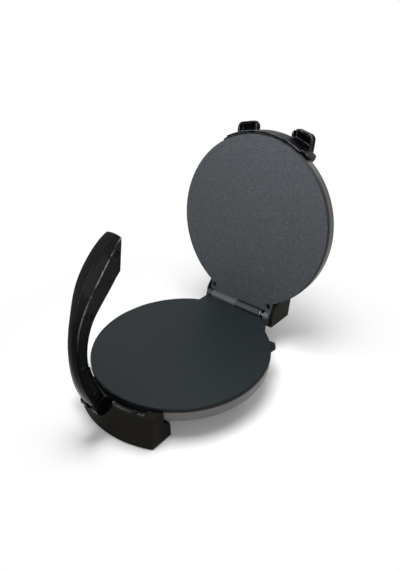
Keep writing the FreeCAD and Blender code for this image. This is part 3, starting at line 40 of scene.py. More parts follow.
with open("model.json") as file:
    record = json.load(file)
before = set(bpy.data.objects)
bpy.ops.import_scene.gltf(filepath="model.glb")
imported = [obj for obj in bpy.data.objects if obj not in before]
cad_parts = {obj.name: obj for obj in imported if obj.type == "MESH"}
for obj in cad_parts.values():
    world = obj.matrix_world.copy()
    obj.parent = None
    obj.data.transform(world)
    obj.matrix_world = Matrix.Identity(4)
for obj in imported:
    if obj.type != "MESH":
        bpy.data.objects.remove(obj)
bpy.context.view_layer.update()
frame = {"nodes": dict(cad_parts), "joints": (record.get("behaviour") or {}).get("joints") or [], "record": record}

MM = 0.001
WELD = 2e-6
FLAT_ANGLE = math.radians(0.4)
CREASE_ANGLE = math.radians(35)
LENS_CREASE_ANGLE = math.radians(30)
NODES = frame["nodes"]
BODY_OF = {node: body for body, nodes in frame["record"]["behaviour"]["bodies"].items() for node in nodes}
SLOT_OF = {row["node"]: row["material_slot"] for row in frame["record"]["subparts"]}
LID_HINGE = next(joint for joint in frame["joints"] if joint["name"] == "lid_hinge")
LEVER_PIVOT = next(joint for joint in frame["joints"] if joint["name"] == "lever_pivot")

# Where finishes change, each as the two ends of a smooth step: behind the middle, out from it, or above the
# floor. The plates' middles are on their own axes.
KNUCKLES_BACK = (98.5 * MM, 100.5 * MM)
TONGUE_BACK = (55 * MM, 75 * MM)
# The plates' rims, where the coat is drawn nearly black as a painted dark reflection.
RIM_DARK_REFLECTION_RADIUS = (98.6 * MM, 99.4 * MM)
LID_BACK = (-60 * MM, -20 * MM)
GRIP_HEIGHT = (120 * MM, 170 * MM)
FLOOR_RADIUS = (120 * MM, 320 * MM)


class PressSizes(bpy.types.PropertyGroup):
    """Sizes of the details that the solids leave plain."""

    moulded_edge: FloatProperty(
        name="Moulded edge", description="Radius of the edges of moulded pieces",
        default=0.4 * MM, min=0.0, unit="LENGTH")
    seam_edge: FloatProperty(
        name="Seam edge", description="Radius of the edges where the lever's halves meet",
        default=0.18 * MM, min=0.0, unit="LENGTH")
    bend_back: FloatProperty(
        name="Bend back", description="Centre of the lever's bend, behind its pivot",
        default=110.8 * MM, unit="LENGTH")
    bend_rise: FloatProperty(
        name="Bend rise", description="Centre of the lever's bend, above its pivot",
        default=50.0 * MM, unit="LENGTH")
    bend_reach: FloatProperty(
        name="Bend reach", description="Distance from that centre beyond which the lever's outer face lies",
        default=122.0 * MM, unit="LENGTH")
    seam_start: FloatProperty(
        name="Seam start", description="Height above the lever's pivot where its seam starts",
        default=15.0 * MM, unit="LENGTH")
    # Painted highlight: the lever's outer corners are drawn paler from this height up.
    highlight_start: FloatProperty(
        name="Rub start", description="Height above the lever's pivot where its corners start to be rubbed",
        default=70.0 * MM, unit="LENGTH")
    # Painted highlight: the height over which the corners' pale highlight grows to full strength.
    highlight_fade: FloatProperty(
        name="Rub fade", description="Height over which the rubbing grows to its full strength",
        default=40.0 * MM, min=1.0 * MM, unit="LENGTH")
    ear_edge: FloatProperty(
        name="Ear edge", description="Radius of the edges of the eared bracket",
        default=0.4 * MM, min=0.0, unit="LENGTH")
    steel_edge: FloatProperty(
        name="Steel edge", description="Radius of the edges of the strap, the pins and the clip",
        default=0.3 * MM, min=0.0, unit="LENGTH")
    recess_share: FloatProperty(
        name="Recess", description="Length of a screw's cross recess as a share of its head", default=0.62,
        subtype="FACTOR", min=0.2, max=0.9)
    thread_pitch: FloatProperty(
        name="Thread pitch", description="Distance between a screw's threads",
        default=0.7 * MM, min=0.2 * MM, unit="LENGTH")
    pad_ribs: IntProperty(
        name="Pad ribs", description="Rings moulded under each foot pad", default=4, min=1, max=8)
    lens_rings: IntProperty(
        name="Lens rings", description="Ridges moulded into each lamp's lens", default=3, min=1, max=6)


class PressColours(bpy.types.PropertyGroup):
    """Colours of the finishes."""

    # Painted shade: the lower plate's coat is drawn several times darker than the upper plate's.
    shaded_lower_coat: FloatVectorProperty(
        name="Lower coat", description="Non-stick coat of the lower plate", subtype="COLOR",
        default=(0.0088, 0.0126, 0.0142), min=0, max=1)
    # Painted light: the upper plate's coat is drawn several times lighter than the lower plate's.
    lit_upper_coat: FloatVectorProperty(
        name="Upper coat", description="Non-stick coat of the upper plate", subtype="COLOR",
        default=(0.047, 0.0515, 0.057), min=0, max=1)
    steel: FloatVectorProperty(
        name="Satin steel", description="Pressed pans", subtype="COLOR",
        default=(0.120, 0.115, 0.112), min=0, max=1)
    bright_steel: FloatVectorProperty(
        name="Bright steel", description="Strap, pins and screws", subtype="COLOR",
        default=(0.52, 0.52, 0.52), min=0, max=1)
    gloss_black: FloatVectorProperty(
        name="Gloss black", description="Lever and front bracket", subtype="COLOR",
        default=(0.0012, 0.0014, 0.0019), min=0, max=1)
    moulded_black: FloatVectorProperty(
        name="Moulded black", description="Feet and rear housing", subtype="COLOR",
        default=(0.0050, 0.0043, 0.0029), min=0, max=1)
    rubber: FloatVectorProperty(
        name="Rubber", description="Foot pads", subtype="COLOR",
        default=(0.022, 0.022, 0.022), min=0, max=1)
    ceramic: FloatVectorProperty(
        name="Ceramic", description="Thermostat and terminal block", subtype="COLOR",
        default=(0.68, 0.65, 0.58), min=0, max=1)
    lens: FloatVectorProperty(
        name="Lens", description="Indicator lamps", subtype="COLOR",
        default=(0.42, 0.03, 0.02), min=0, max=1)


class PressStudio(bpy.types.PropertyGroup):
    """Floor, light and camera."""

    floor: FloatVectorProperty(
        name="Floor", description="Colour of the floor", subtype="COLOR",
        default=(0.94, 0.94, 0.94), min=0, max=1)
    sky: FloatProperty(
        name="Sky", description="Strength of the even light from all round", default=0.24, min=0.0)
    overhead: FloatProperty(
        name="Overhead", description="Power of the soft light above", default=2.6, min=0.0, unit="POWER")
    window: FloatProperty(
        name="Window", description="Power of the cool light in front at the left", default=2.2, min=0.0,
        unit="POWER")
    key: FloatProperty(
        name="Key", description="Power of the bright strip beside the camera", default=8.0, min=0.0,
        unit="POWER")
    rim: FloatProperty(
        name="Rim", description="Power of the light behind", default=4.0, min=0.0, unit="POWER")
    azimuth: FloatProperty(
        name="Azimuth", description="Camera's turn to the right of the lever", subtype="ANGLE",
        default=math.radians(42.0))
    elevation: FloatProperty(
        name="Elevation", description="Camera's height above the horizon", subtype="ANGLE",
        default=math.radians(31.0))
    roll: FloatProperty(
        name="Roll", description="Camera's tilt about its own axis", subtype="ANGLE",
        default=math.radians(-1.62))
    lens: FloatProperty(name="Lens", description="Focal length in millimetres", default=34.04, min=10.0)
    place: FloatVectorProperty(
        name="Camera", description="Where the camera stands", subtype="TRANSLATION", unit="LENGTH",
        default=(0.33925, -0.342, 0.40889))


# Node trees

class Wire:
    """A node's output socket. Maths on it adds Math nodes."""

    def __init__(self, nodes, socket):
        self.nodes = nodes
        self.socket = socket

    def math(self, operation, *operands):
        return self.nodes.add("ShaderNodeMath", {"operation": operation}, dict(enumerate(operands)))

    def __add__(self, other):
        return self.math("ADD", self, other)

    def __sub__(self, other):
        return self.math("SUBTRACT", self, other)

    def __mul__(self, other):
        return self.math("MULTIPLY", self, other)

    def __truediv__(self, other):
        return self.math("DIVIDE", self, other)

    def __radd__(self, other):
        return self.math("ADD", other, self)

    def __rsub__(self, other):
        return self.math("SUBTRACT", other, self)

    def above(self, edge):
        return self.math("GREATER_THAN", self, edge)

    def past(self, edge):
        """How far it is above the edge, and 0 below."""
        return self.math("MAXIMUM", self - edge, 0.0)

    def cosine(self):
        return self.math("COSINE", self)

    def root(self):
        return self.math("SQRT", self)

    def angle_to(self, other):
        return self.math("ARCTAN2", self, other)

    def eased(self, low, high):
        """0 below low, 1 above high, and smooth between."""
        return self.nodes.add("ShaderNodeMapRange", {"interpolation_type": "SMOOTHSTEP"},
                              {"Value": self, "From Min": low, "From Max": high})


class Nodes:
    """Adds nodes to a tree and links them."""

    def __init__(self, tree):
        self.tree = tree

    def add(self, kind, settings=None, sockets=None, output=0):
        node = self.tree.nodes.new(kind)
        for name, value in (settings or {}).items():
            setattr(node, name, value)
        for name, value in (sockets or {}).items():
            self.feed(node.inputs[name], value)
        return Wire(self, node.outputs[output])

    def feed(self, socket, value):
        for part in value if isinstance(value, list) else [value]:
            if isinstance(part, Wire):
                self.tree.links.new(part.socket, socket)
            elif socket.type == "RGBA" and len(part) == 3:
                socket.default_value = (*part, 1.0)
            else:
                socket.default_value = part

    def parts(self, vector):
        """A vector's three parts."""
        node = self.add("ShaderNodeSeparateXYZ", None, {0: vector}).socket.node
        return [Wire(self, socket) for socket in node.outputs]

    def vector(self, x, y, z):
        return self.add("ShaderNodeCombineXYZ", None, {0: x, 1: y, 2: z})


class Finish(Nodes):
    """A material, with the patterns that its surface is made from."""

    def __init__(self, name):
        self.material = bpy.data.materials.new(name)
        self.material.use_nodes = True
        super().__init__(self.material.node_tree)
        self.shader = self.tree.nodes["Principled BSDF"]
        self.place = self.add("ShaderNodeTexCoord", output="Object")

    def noise(self, scale, detail=2.0, place=None, rough=0.55):
        sockets = {"Vector": place or self.place, "Scale": scale, "Detail": detail, "Roughness": rough}
        return self.add("ShaderNodeTexNoise", None, sockets, "Fac")

    def cells(self, scale):
        return self.add("ShaderNodeTexVoronoi", None, {"Vector": self.place, "Scale": scale}, "Distance")

    def worn(self):
        """How much wear and painted highlight a face of a dressed piece carries, from 0 to 1."""
        return self.add("ShaderNodeAttribute", {"attribute_name": "worn"}, output="Fac")

    def blend(self, share, first, second):
        return self.add("ShaderNodeMix", {"data_type": "RGBA"}, {0: share, 6: first, 7: second}, 2)

    def bump(self, height, distance, strength=1.0):
        return self.add("ShaderNodeBump", None,
                        {"Height": height, "Distance": distance, "Strength": strength})

    def surface(self, **sockets):
        for name, value in sockets.items():
            self.feed(self.shader.inputs[name.replace("_", " ").title().replace("Ior", "IOR")], value)
        return self.material

    def own_frame(self, on_lid):
        """Coordinates about the axis of a plate: the lid's are turned shut first."""
        if not on_lid:
            return self.place
        angle = math.radians(LID_HINGE["range_deg"][1])
        hinge = Vector(LID_HINGE["pos_m"])
        shut = hinge - Matrix.Rotation(angle, 3, "X") @ hinge
        return self.add("ShaderNodeMapping", None,
                        {"Vector": self.place, "Location": shut, "Rotation": (angle, 0, 0)})


# Finishes

def tint(colour, factor):
    """A colour made darker or lighter."""
    return tuple(min(part * factor, 1.0) for part in colour)


def nonstick_coat(name, colour, speckle, sheen, on_lid=False):
    """A satin non-stick coat: pale specks and faint wipe marks on the face, smooth knuckles, and a painted dark
    reflection round the rim.
    """
    finish = Finish(name)
    x, y, _ = finish.parts(finish.own_frame(on_lid))
    knuckles = y.eased(*KNUCKLES_BACK)
    rim = (x * x + y * y).root().eased(*RIM_DARK_REFLECTION_RADIUS) * (1 - y.eased(*TONGUE_BACK))
    grain = finish.noise(900, 4, rough=0.75)
    wipes = finish.noise(14, 4)
    specks = (1 - finish.cells(560).eased(0.12, 0.34)) * finish.noise(240, 1).eased(0.44, 0.6)
    contrast = 0.5 * speckle
    coat = finish.blend(grain.eased(0.36, 0.64), tint(colour, 1 - contrast), tint(colour, 1 + contrast))
    coat = finish.blend(specks * contrast, coat, tint(colour, 3.6))
    coat = finish.blend(knuckles, coat, tint(colour, 0.9))
    # Painted dark reflection: the coat goes nearly black round the rim, clear of the tongue.
    coat = finish.blend(rim * 0.85, coat, tint(colour, 0.12))
    rough = 0.43 + grain * 0.10 + wipes * 0.08 - knuckles * 0.20
    return finish.surface(base_color=coat, roughness=rough, specular_ior_level=sheen,
                          coat_weight=knuckles * 0.7, coat_roughness=0.22,
                          normal=finish.bump((grain + specks * 0.6) * (1 - knuckles), 0.05 * MM, 0.4))


def satin_steel(name, colour, on_lid=False):
    """Drawn steel, brushed round its axis, with faint smudges."""
    finish = Finish(name)
    x, y, z = finish.parts(finish.own_frame(on_lid))
    radius = (x * x + y * y).root()
    turn = y.angle_to(x)
    streaks = finish.noise(1.0, 4, finish.vector(radius * 2600, z * 2600, turn * 5), 0.7)
    smudge = finish.noise(22, 4)
    metal = finish.blend(streaks.eased(0.3, 0.7), tint(colour, 0.84), tint(colour, 1.1))
    metal = finish.blend(smudge.eased(0.5, 0.75) * 0.22, metal, tint(colour, 0.7))
    rough = 0.30 + streaks * 0.14 + smudge * 0.07
    return finish.surface(base_color=metal, metallic=1.0, roughness=rough,
                          normal=finish.bump(streaks, 0.02 * MM, 0.4))


def bright_steel(name, colour, rough=0.22):
    """Plated or ground steel with fine scratches and a painted glint along marked edges."""
    finish = Finish(name)
    x, y, z = finish.parts(finish.place)
    scratches = finish.noise(1.0, 3, finish.vector(x * 500, y * 2400, z * 2400))
    dull = finish.noise(90, 3)
    metal = finish.blend(dull.eased(0.35, 0.75), tint(colour, 1.08), tint(colour, 0.74))
    # Painted glint: the marked edges of the strap, pins and clip are drawn pale grey.
    metal = finish.blend(finish.worn() * 0.7, metal, (0.5, 0.5, 0.5))
    return finish.surface(base_color=metal, metallic=1.0, roughness=rough + scratches * 0.12 + dull * 0.1,
                          normal=finish.bump(scratches, 0.012 * MM, 0.35))


def gloss_plastic(name, colour):
    """Black moulding with a ripple, dust and a painted pale highlight along its edges: polished on the grip,
    duller on the lid.
    """
    finish = Finish(name)
    ripple = finish.noise(120, 2)
    dust = 1 - finish.cells(420).eased(0.03, 0.09)
    dust = dust * finish.noise(70, 2).eased(0.56, 0.68)
    smudge = finish.noise(26, 5)
    plastic = finish.blend(finish.noise(9, 2), tint(colour, 0.85), tint(colour, 1.2))
    plastic = finish.blend(dust * 0.3, plastic, (0.03, 0.03, 0.032))
    # Painted highlight: the marked edges are drawn pale and bluish, broken up by noise.
    painted_edge_highlight = finish.worn() * finish.noise(90, 3).eased(0.3, 0.6)
    plastic = finish.blend(painted_edge_highlight * 0.8, plastic, (0.15, 0.155, 0.163))
    _, y, z = finish.parts(finish.place)
    on_lid = y.eased(*LID_BACK)
    handled = z.eased(*GRIP_HEIGHT) * (1 - on_lid)
    rough = 0.12 + smudge.eased(0.4, 0.8) * 0.08 + dust * 0.2 + on_lid * 0.25
    return finish.surface(base_color=plastic, roughness=rough, specular_ior_level=0.03,
                          coat_weight=handled * 0.16, coat_roughness=0.16,
                          normal=finish.bump(ripple, 0.10 * MM, 0.12))


def moulded_plastic(name, colour, grain_scale=1500, rough=0.5):
    """Matte moulding with a spark-eroded grain and paler rubbed edges."""
    finish = Finish(name)
    grain = finish.noise(grain_scale, 2)
    patches = finish.noise(30, 4)
    plastic = finish.blend(grain.eased(0.3, 0.75), tint(colour, 0.75), tint(colour, 1.35))
    plastic = finish.blend(finish.worn() * patches.eased(0.35, 0.65) * 0.5, plastic, tint(colour, 4))
    return finish.surface(base_color=plastic, roughness=rough + patches * 0.14 - finish.worn() * 0.12,
                          specular_ior_level=0.06, normal=finish.bump(grain, 0.05 * MM, 0.5))


def rubber(name, colour):
    """Grained rubber with dusty patches."""
    finish = Finish(name)
    grain = finish.noise(900, 3)
    dusty = finish.noise(60, 4).eased(0.45, 0.7)
    body = finish.blend(dusty * 0.5, colour, tint(colour, 2.4))
    return finish.surface(base_color=body, roughness=0.72 + grain * 0.15, specular_ior_level=0.3,
                          normal=finish.bump(grain, 0.05 * MM, 0.6))


def fired_ceramic(name, colour):
    """Unglazed ceramic with a fine speckle."""
    finish = Finish(name)
    speckle = finish.noise(700, 3)
    body = finish.blend(speckle.eased(0.4, 0.7), tint(colour, 1.05), tint(colour, 0.86))
    return finish.surface(base_color=body, roughness=0.5 + speckle * 0.2,
                          normal=finish.bump(speckle, 0.04 * MM, 0.4))


def sheathed_coil(name):
    """Dull steel tube with patches of oxide."""
    finish = Finish(name)
    oxide = finish.noise(60, 5)
    grain = finish.noise(800, 2)
    tube = finish.blend(oxide.eased(0.35, 0.7), (0.11, 0.095, 0.08), (0.2, 0.19, 0.2))
    return finish.surface(base_color=tube, metallic=0.8, roughness=0.45 + oxide * 0.2,
                          normal=finish.bump(grain, 0.03 * MM, 0.4))


def lamp_glass(name, colour):
    """Tinted glossy plastic with a faint cloud."""
    finish = Finish(name)
    cloud = finish.noise(260, 3)
    body = finish.blend(cloud.eased(0.3, 0.7), tint(colour, 0.8), tint(colour, 1.25))
    return finish.surface(base_color=body, roughness=0.08 + cloud * 0.1,
                          coat_weight=0.4, coat_roughness=0.05)


FINISHES = {}


def make_finishes(context):
    """One material for each of the record's slots, and two more: for the lid's shell, whose steel is darkened as a
    painted dark reflection, and for dark screws.
    """
    colours = context.scene.press_colours
    steel = colours.bright_steel
    FINISHES.update({
        "lower_nonstick": nonstick_coat("lower_nonstick", colours.shaded_lower_coat, 0.5, 0.14),
        "upper_nonstick": nonstick_coat("upper_nonstick", colours.lit_upper_coat, 0.7, 0.16, on_lid=True),
        "coil_steel": sheathed_coil("coil_steel"),
        "reflector_aluminium": bright_steel("reflector_aluminium", (0.74, 0.74, 0.75), 0.2),
        "pan_steel": satin_steel("pan_steel", colours.steel),
        # Painted dark reflection: the lid's shell is the pans' steel at six tenths of its colour.
        "shell_steel": satin_steel("shell_steel", tint(colours.steel, 0.6), on_lid=True),
        "screw_steel": bright_steel("screw_steel", steel, 0.3),
        "dark_screw": bright_steel("dark_screw", (0.02, 0.02, 0.021), 0.34),
        "ceramic": fired_ceramic("ceramic", colours.ceramic),
        "foot_plastic": moulded_plastic("foot_plastic", colours.moulded_black),
        "bush_plastic": moulded_plastic("bush_plastic", tint(colours.moulded_black, 1.6), 900, 0.56),
        "housing_plastic": moulded_plastic("housing_plastic", tint(colours.moulded_black, 1.8), 1800, 0.42),
        "pad_rubber": rubber("pad_rubber", colours.rubber),
        "bracket_steel": bright_steel("bracket_steel", tint(steel, 0.12), 0.16),
        "pin_steel": bright_steel("pin_steel", tint(steel, 0.3), 0.24),
        "gloss_black": gloss_plastic("gloss_black", colours.gloss_black),
        "lens_plastic": lamp_glass("lens_plastic", colours.lens),
    })


def finish_for(context, name):
    """The finish of this name. All are made the first time that one is asked for."""
    if not FINISHES:
        make_finishes(context)
    return FINISHES[name]


# Meshes

def welded(node):
    """A copy of a CAD piece as one joined mesh, with flat areas made whole."""
    mesh = bmesh.new()
    mesh.from_mesh(NODES[node].data)
    bmesh.ops.remove_doubles(mesh, verts=mesh.verts, dist=WELD)
    bmesh.ops.dissolve_limit(mesh, angle_limit=FLAT_ANGLE, verts=mesh.verts, edges=mesh.edges)
    return mesh


def finished_mesh(thing):
    """The evaluated mesh of an object, with its modifiers taken off."""
    depsgraph = bpy.context.evaluated_depsgraph_get()
    mesh = bpy.data.meshes.new_from_object(thing.evaluated_get(depsgraph), preserve_all_data_layers=True,
                                           depsgraph=depsgraph)
    thing.modifiers.clear()
    return mesh


def place_piece(name, mesh, material, *nodes):
    """Puts a finished mesh in the scene in place of CAD nodes of one body."""
    mesh.name = name
    mesh.materials.clear()
    mesh.materials.append(material)
    piece = bpy.data.objects.new(name, mesh)
    bpy.context.scene.collection.objects.link(piece)
    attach(piece, BODY_OF[nodes[0]])
    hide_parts(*nodes)
    return piece


def sharp(edge, degrees):
    return len(edge.link_faces) == 2 and edge.calc_face_angle() > math.radians(degrees)


def rounded(context, node, radius, degrees=28.0, chosen=lambda edge: True):
    """Dresses a CAD piece: a copy with its sharp edges, or the chosen ones, rounded and marked for paler edges, as
    wear and painted highlight.
    """
    shape = welded(node)
    worn = shape.faces.layers.float.new("worn")
    edges = [edge for edge in shape.edges if sharp(edge, degrees) and chosen(edge)]
    made = bmesh.ops.bevel(shape, geom=edges, offset=radius, offset_type="OFFSET", segments=3, profile=0.5,
                           affect="EDGES", clamp_overlap=False, miter_outer="ARC")
    for face in made["faces"]:
        face[worn] = 1.0
    for face in shape.faces:
        face.smooth = True
    mesh = bpy.data.meshes.new(node)
    shape.to_mesh(mesh)
    shape.free()
    mesh.set_sharp_from_angle(angle=math.radians(degrees))
    thing = bpy.data.objects.new(node, mesh)
    context.scene.collection.objects.link(thing)
    thing.modifiers.new("even", "WEIGHTED_NORMAL").keep_sharp = True
    done = finished_mesh(thing)
    bpy.data.objects.remove(thing)
    return place_piece(node + "_dressed", done, finish_for(context, SLOT_OF[node]), node)


def repaint(context, *nodes, finish=None):
    """Gives CAD pieces whose shape is right their finish."""
    for node in nodes:
        NODES[node].data.materials.clear()
        NODES[node].data.materials.append(finish_for(context, finish or SLOT_OF[node]))


def solids(node):
    """Each separate solid in a CAD node, as the corners of its triangles."""
    shape = bmesh.new()
    shape.from_mesh(NODES[node].data)
    bmesh.ops.remove_doubles(shape, verts=shape.verts, dist=WELD)
    bmesh.ops.triangulate(shape, faces=shape.faces)
    seen, found = set(), []
    for start in shape.faces:
        if start in seen:
            continue
        seen.add(start)
        stack, corners = [start], []
        while stack:
            face = stack.pop()
            corners.append([vert.co[:] for vert in face.verts])
            for edge in face.edges:
                for other in edge.link_faces:
                    if other not in seen:
                        seen.add(other)
                        stack.append(other)
        found.append(np.array(corners))
    shape.free()
    return found


class Turned:
    """The axis of a turned solid, towards its wide end, and its heights and radii about it."""

    rim_share = 0.97

    def __init__(self, corners):
        sides = corners[:, 1:] - corners[:, :1]
        areas = np.linalg.norm(np.cross(sides[:, 0], sides[:, 1]), axis=1) / 2
        centres = corners.mean(1)
        self.middle = (areas[:, None] * centres).sum(0) / areas.sum()
        arms = corners - self.middle
        # A triangle's second moment goes with its corners' and nine times its centre's.
        spread = np.einsum("f,fci,fcj->ij", areas, arms, arms)
        spread += 9 * np.einsum("f,fi,fj->ij", areas, arms.mean(1), arms.mean(1))
        sizes, directions = np.linalg.eigh(spread)
        self.axis = directions[:, 0 if sizes[1] - sizes[0] > sizes[2] - sizes[1] else 2]
        points = arms.reshape(-1, 3)
        self.heights = points @ self.axis
        self.radii = np.linalg.norm(points - np.outer(self.heights, self.axis), axis=1)
        self.wide = float(self.radii.max())
        rim = self.heights[self.radii > self.wide * self.rim_share].mean()
        if rim < (self.heights.min() + self.heights.max()) / 2:
            self.axis, self.heights = -self.axis, -self.heights
        self.foot, self.top = float(self.heights.min()), float(self.heights.max())

    def at(self, height):
        return self.middle + self.axis * height


# Geometry node trees

class Shape(Nodes):
    """A geometry node tree with named inputs."""

    def __init__(self, name):
        super().__init__(bpy.data.node_groups.new(name, "GeometryNodeTree"))
        self.sockets = {}
        self.socket("Geometry", "NodeSocketGeometry")
        self.tree.interface.new_socket("Geometry", in_out="OUTPUT", socket_type="NodeSocketGeometry")

    def socket(self, name, kind):
        self.sockets[name] = self.tree.interface.new_socket(name, in_out="INPUT", socket_type=kind)

    def inputs(self, **kinds):
        for name, kind in kinds.items():
            self.socket(name.replace("_", " "), kind)
        node = self.tree.nodes.new("NodeGroupInput")
        return {name: Wire(self, node.outputs[name]) for name in self.sockets}

    def field_place(self):
        return self.parts(self.add("GeometryNodeInputPosition"))

    def moved(self, geometry, place):
        return self.add("GeometryNodeSetPosition", None, {"Geometry": geometry, "Position": place})

    def shifted(self, geometry, offset, turn=(0, 0, 0)):
        return self.add("GeometryNodeTransform", None,
                        {"Geometry": geometry, "Translation": offset, "Rotation": turn})

    def joined(self, *geometries):
        return self.add("GeometryNodeJoinGeometry", None, {"Geometry": list(geometries)})

    def copies(self, points, piece, material):
        """Copies of a piece at points, along their axes and turned unevenly about them, as one mesh."""
        axis = self.add("GeometryNodeInputNamedAttribute", {"data_type": "FLOAT_VECTOR"}, {"Name": "axis"})
        along = self.add("FunctionNodeAlignRotationToVector", {"axis": "Z"}, {"Vector": axis})
        uneven = self.add("GeometryNodeInputIndex") * 0.7 + 0.3
        spin = self.add("FunctionNodeEulerToRotation", None, {0: self.vector(0.0, 0.0, uneven)})
        turn = self.add("FunctionNodeRotateRotation", {"rotation_space": "LOCAL"},
                        {"Rotation": along, "Rotate By": spin})
        placed = self.add("GeometryNodeInstanceOnPoints", None,
                          {"Points": points, "Instance": piece, "Rotation": turn})
        real = self.add("GeometryNodeRealizeInstances", None, {"Geometry": placed})
        return self.add("GeometryNodeSetMaterial", None, {"Geometry": real, "Material": material})

    def end(self, geometry):
        output = self.tree.nodes.new("NodeGroupOutput")
        self.tree.links.new(geometry.socket, output.inputs["Geometry"])

    def run(self, name, places, axes, values):
        """The tree's mesh on points with their axes."""
        mesh = bpy.data.meshes.new(name)
        mesh.from_pydata([tuple(place) for place in places], [], [])
        attribute = mesh.attributes.new("axis", "FLOAT_VECTOR", "POINT")
        attribute.data.foreach_set("vector", np.array(axes, np.float32).ravel())
        thing = bpy.data.objects.new(name, mesh)
        bpy.context.scene.collection.objects.link(thing)
        modifier = thing.modifiers.new(name, "NODES")
        modifier.node_group = self.tree
        for key, value in values.items():
            modifier[self.sockets[key].identifier] = value
        done = finished_mesh(thing)
        bpy.data.objects.remove(thing)
        done.polygons.foreach_set("use_smooth", [True] * len(done.polygons))
        done.set_sharp_from_angle(angle=CREASE_ANGLE)
        return done


def screw_tree():
    """A domed head with a cross recess on a threaded shank. The head's seat is at the point."""
    dome_share, bar_width, bar_depth = 0.82, 0.26, 1.1
    thread_depth, tip_length, tip_width = 0.07, 0.12, 0.7
    shape = Shape("cross_head_screw")
    number = "NodeSocketFloat"
    given = shape.inputs(Head_Radius=number, Head_Height=number, Shank_Radius=number, Shank_Length=number,
                         Thread_Pitch=number, Thread_Steps="NodeSocketInt", Recess=number,
                         Material="NodeSocketMaterial")
    head_radius, head_height = given["Head Radius"], given["Head Height"]
    head = shape.add("GeometryNodeMeshCylinder", None,
                     {"Vertices": 36, "Side Segments": 8, "Fill Segments": 3, "Radius": head_radius,
                      "Depth": head_height})
    x, y, z = shape.field_place()
    rise = z / head_height + 0.5
    curve = rise.past(0.5) / dome_share
    width = (1 - curve * curve).root()
    head = shape.moved(head, shape.vector(x * width, y * width, z + head_height * 0.5))
    arm = head_radius * given["Recess"]
    size = shape.vector(arm * 2.0, head_radius * bar_width, head_height * bar_depth)
    bar = shape.add("GeometryNodeMeshCube", None, {"Size": size})
    lift = shape.vector(0.0, 0.0, head_height)
    cross = [shape.shifted(bar, lift, (0, 0, turn)) for turn in (0.0, math.pi / 2)]
    for bar in cross:
        head = shape.add("GeometryNodeMeshBoolean", {"operation": "DIFFERENCE", "solver": "EXACT"},
                         {"Mesh 1": head, "Mesh 2": bar})
    shank_length = given["Shank Length"]
    shank = shape.add("GeometryNodeMeshCylinder", None,
                      {"Vertices": 14, "Side Segments": given["Thread Steps"], "Fill Segments": 1,
                       "Radius": given["Shank Radius"], "Depth": shank_length})
    x, y, z = shape.field_place()
    wave = (z / given["Thread Pitch"] * math.tau + y.angle_to(x)).cosine()
    tip = (z / shank_length + 0.5).eased(0.0, tip_length) * (1 - tip_width) + tip_width
    width = (1 - thread_depth + wave * thread_depth) * tip
    shank = shape.moved(shank, shape.vector(x * width, y * width, z - shank_length * 0.5))
    shape.end(shape.copies(given["Geometry"], shape.joined(head, shank), given["Material"]))
    return shape


def pad_tree():
    """A rubber disc with rings moulded under it. Its underside is at the point."""
    rib_depth, edge_start, edge_draw = 0.22, 0.9, 0.8
    shape = Shape("ribbed_pad")
    given = shape.inputs(Radius="NodeSocketFloat", Height="NodeSocketFloat", Ribs="NodeSocketInt",
                         Material="NodeSocketMaterial")
    height = given["Height"]
    disc = shape.add("GeometryNodeMeshCylinder", {"fill_type": "NGON"},
                     {"Vertices": 48, "Side Segments": 4, "Fill Segments": 34, "Radius": given["Radius"],
                      "Depth": height})
    x, y, z = shape.field_place()
    out = (x * x + y * y).root() / given["Radius"]
    wave = 0.5 - (out * given["Ribs"] * math.tau).cosine() * 0.5
    under = 1 - (z / height + 0.5).above(0.01)
    edge = 1 - out.past(edge_start) * under * edge_draw
    lift = z + height * 0.5 + under * wave * height * rib_depth
    shape.end(shape.copies(given["Geometry"], shape.moved(disc, shape.vector(x * edge, y * edge, lift)),
                           given["Material"]))
    return shape


# Operators

class PressPiece:
    """What the operators for pieces share."""

    bl_options = {"REGISTER"}

    def execute(self, context):
        self.make(context, context.scene.press_sizes)
        return {"FINISHED"}


class PRESS_OT_cooking_plates(PressPiece, bpy.types.Operator):
    """Coat both cast plates"""

    bl_idname = "press.cooking_plates"
    bl_label = "Cooking plates"

    def make(self, context, sizes):
        repaint(context, "lower_plate", "upper_plate")


class PRESS_OT_pans(PressPiece, bpy.types.Operator):
    """Brush the drawn steel pans round their axes"""

    bl_idname = "press.pans"
    bl_label = "Steel pans"

    def make(self, context, sizes):
        repaint(context, "lower_pan")
        # The shell takes the darkened steel: a painted dark reflection.
        repaint(context, "upper_shell", finish="shell_steel")


class PRESS_OT_heating(PressPiece, bpy.types.Operator):
    """Finish the coils, shields, controls and nuts inside the press"""

    bl_idname = "press.heating"
    bl_label = "Heating"

    def make(self, context, sizes):
        repaint(context, "lower_heating_coil", "upper_heating_coil", "lower_reflector", "upper_reflector",
                "thermostat", "thermal_fuse", "terminal_block", "foot_nuts")


class PRESS_OT_feet(PressPiece, bpy.types.Operator):
    """Round the edges of the feet, the wiring cover and the lead's bush"""

    bl_idname = "press.feet"
    bl_label = "Feet"

    def make(self, context, sizes):
        for node in ("front_foot", "rear_foot", "rear_cover", "cord_inlet"):
            rounded(context, node, sizes.moulded_edge)


class PRESS_OT_pads(PressPiece, bpy.types.Operator):
    """Set a ribbed rubber pad under each corner"""

    bl_idname = "press.pads"
    bl_label = "Foot pads"

    def make(self, context, sizes):
        places, radius, height = [], 0.0, 0.0
        for corners in solids("foot_pads"):
            low, high = corners.min((0, 1)), corners.max((0, 1))
            places.append(((low[0] + high[0]) / 2, (low[1] + high[1]) / 2, low[2]))
            radius, height = (high[0] - low[0]) / 2, high[2] - low[2]
        material = finish_for(context, SLOT_OF["foot_pads"])
        mesh = pad_tree().run("ribbed_pads", places, [(0, 0, 1)] * len(places), {
            "Radius": float(radius), "Height": float(height), "Ribs": sizes.pad_ribs, "Material": material})
        place_piece("ribbed_pads", mesh, material, "foot_pads")


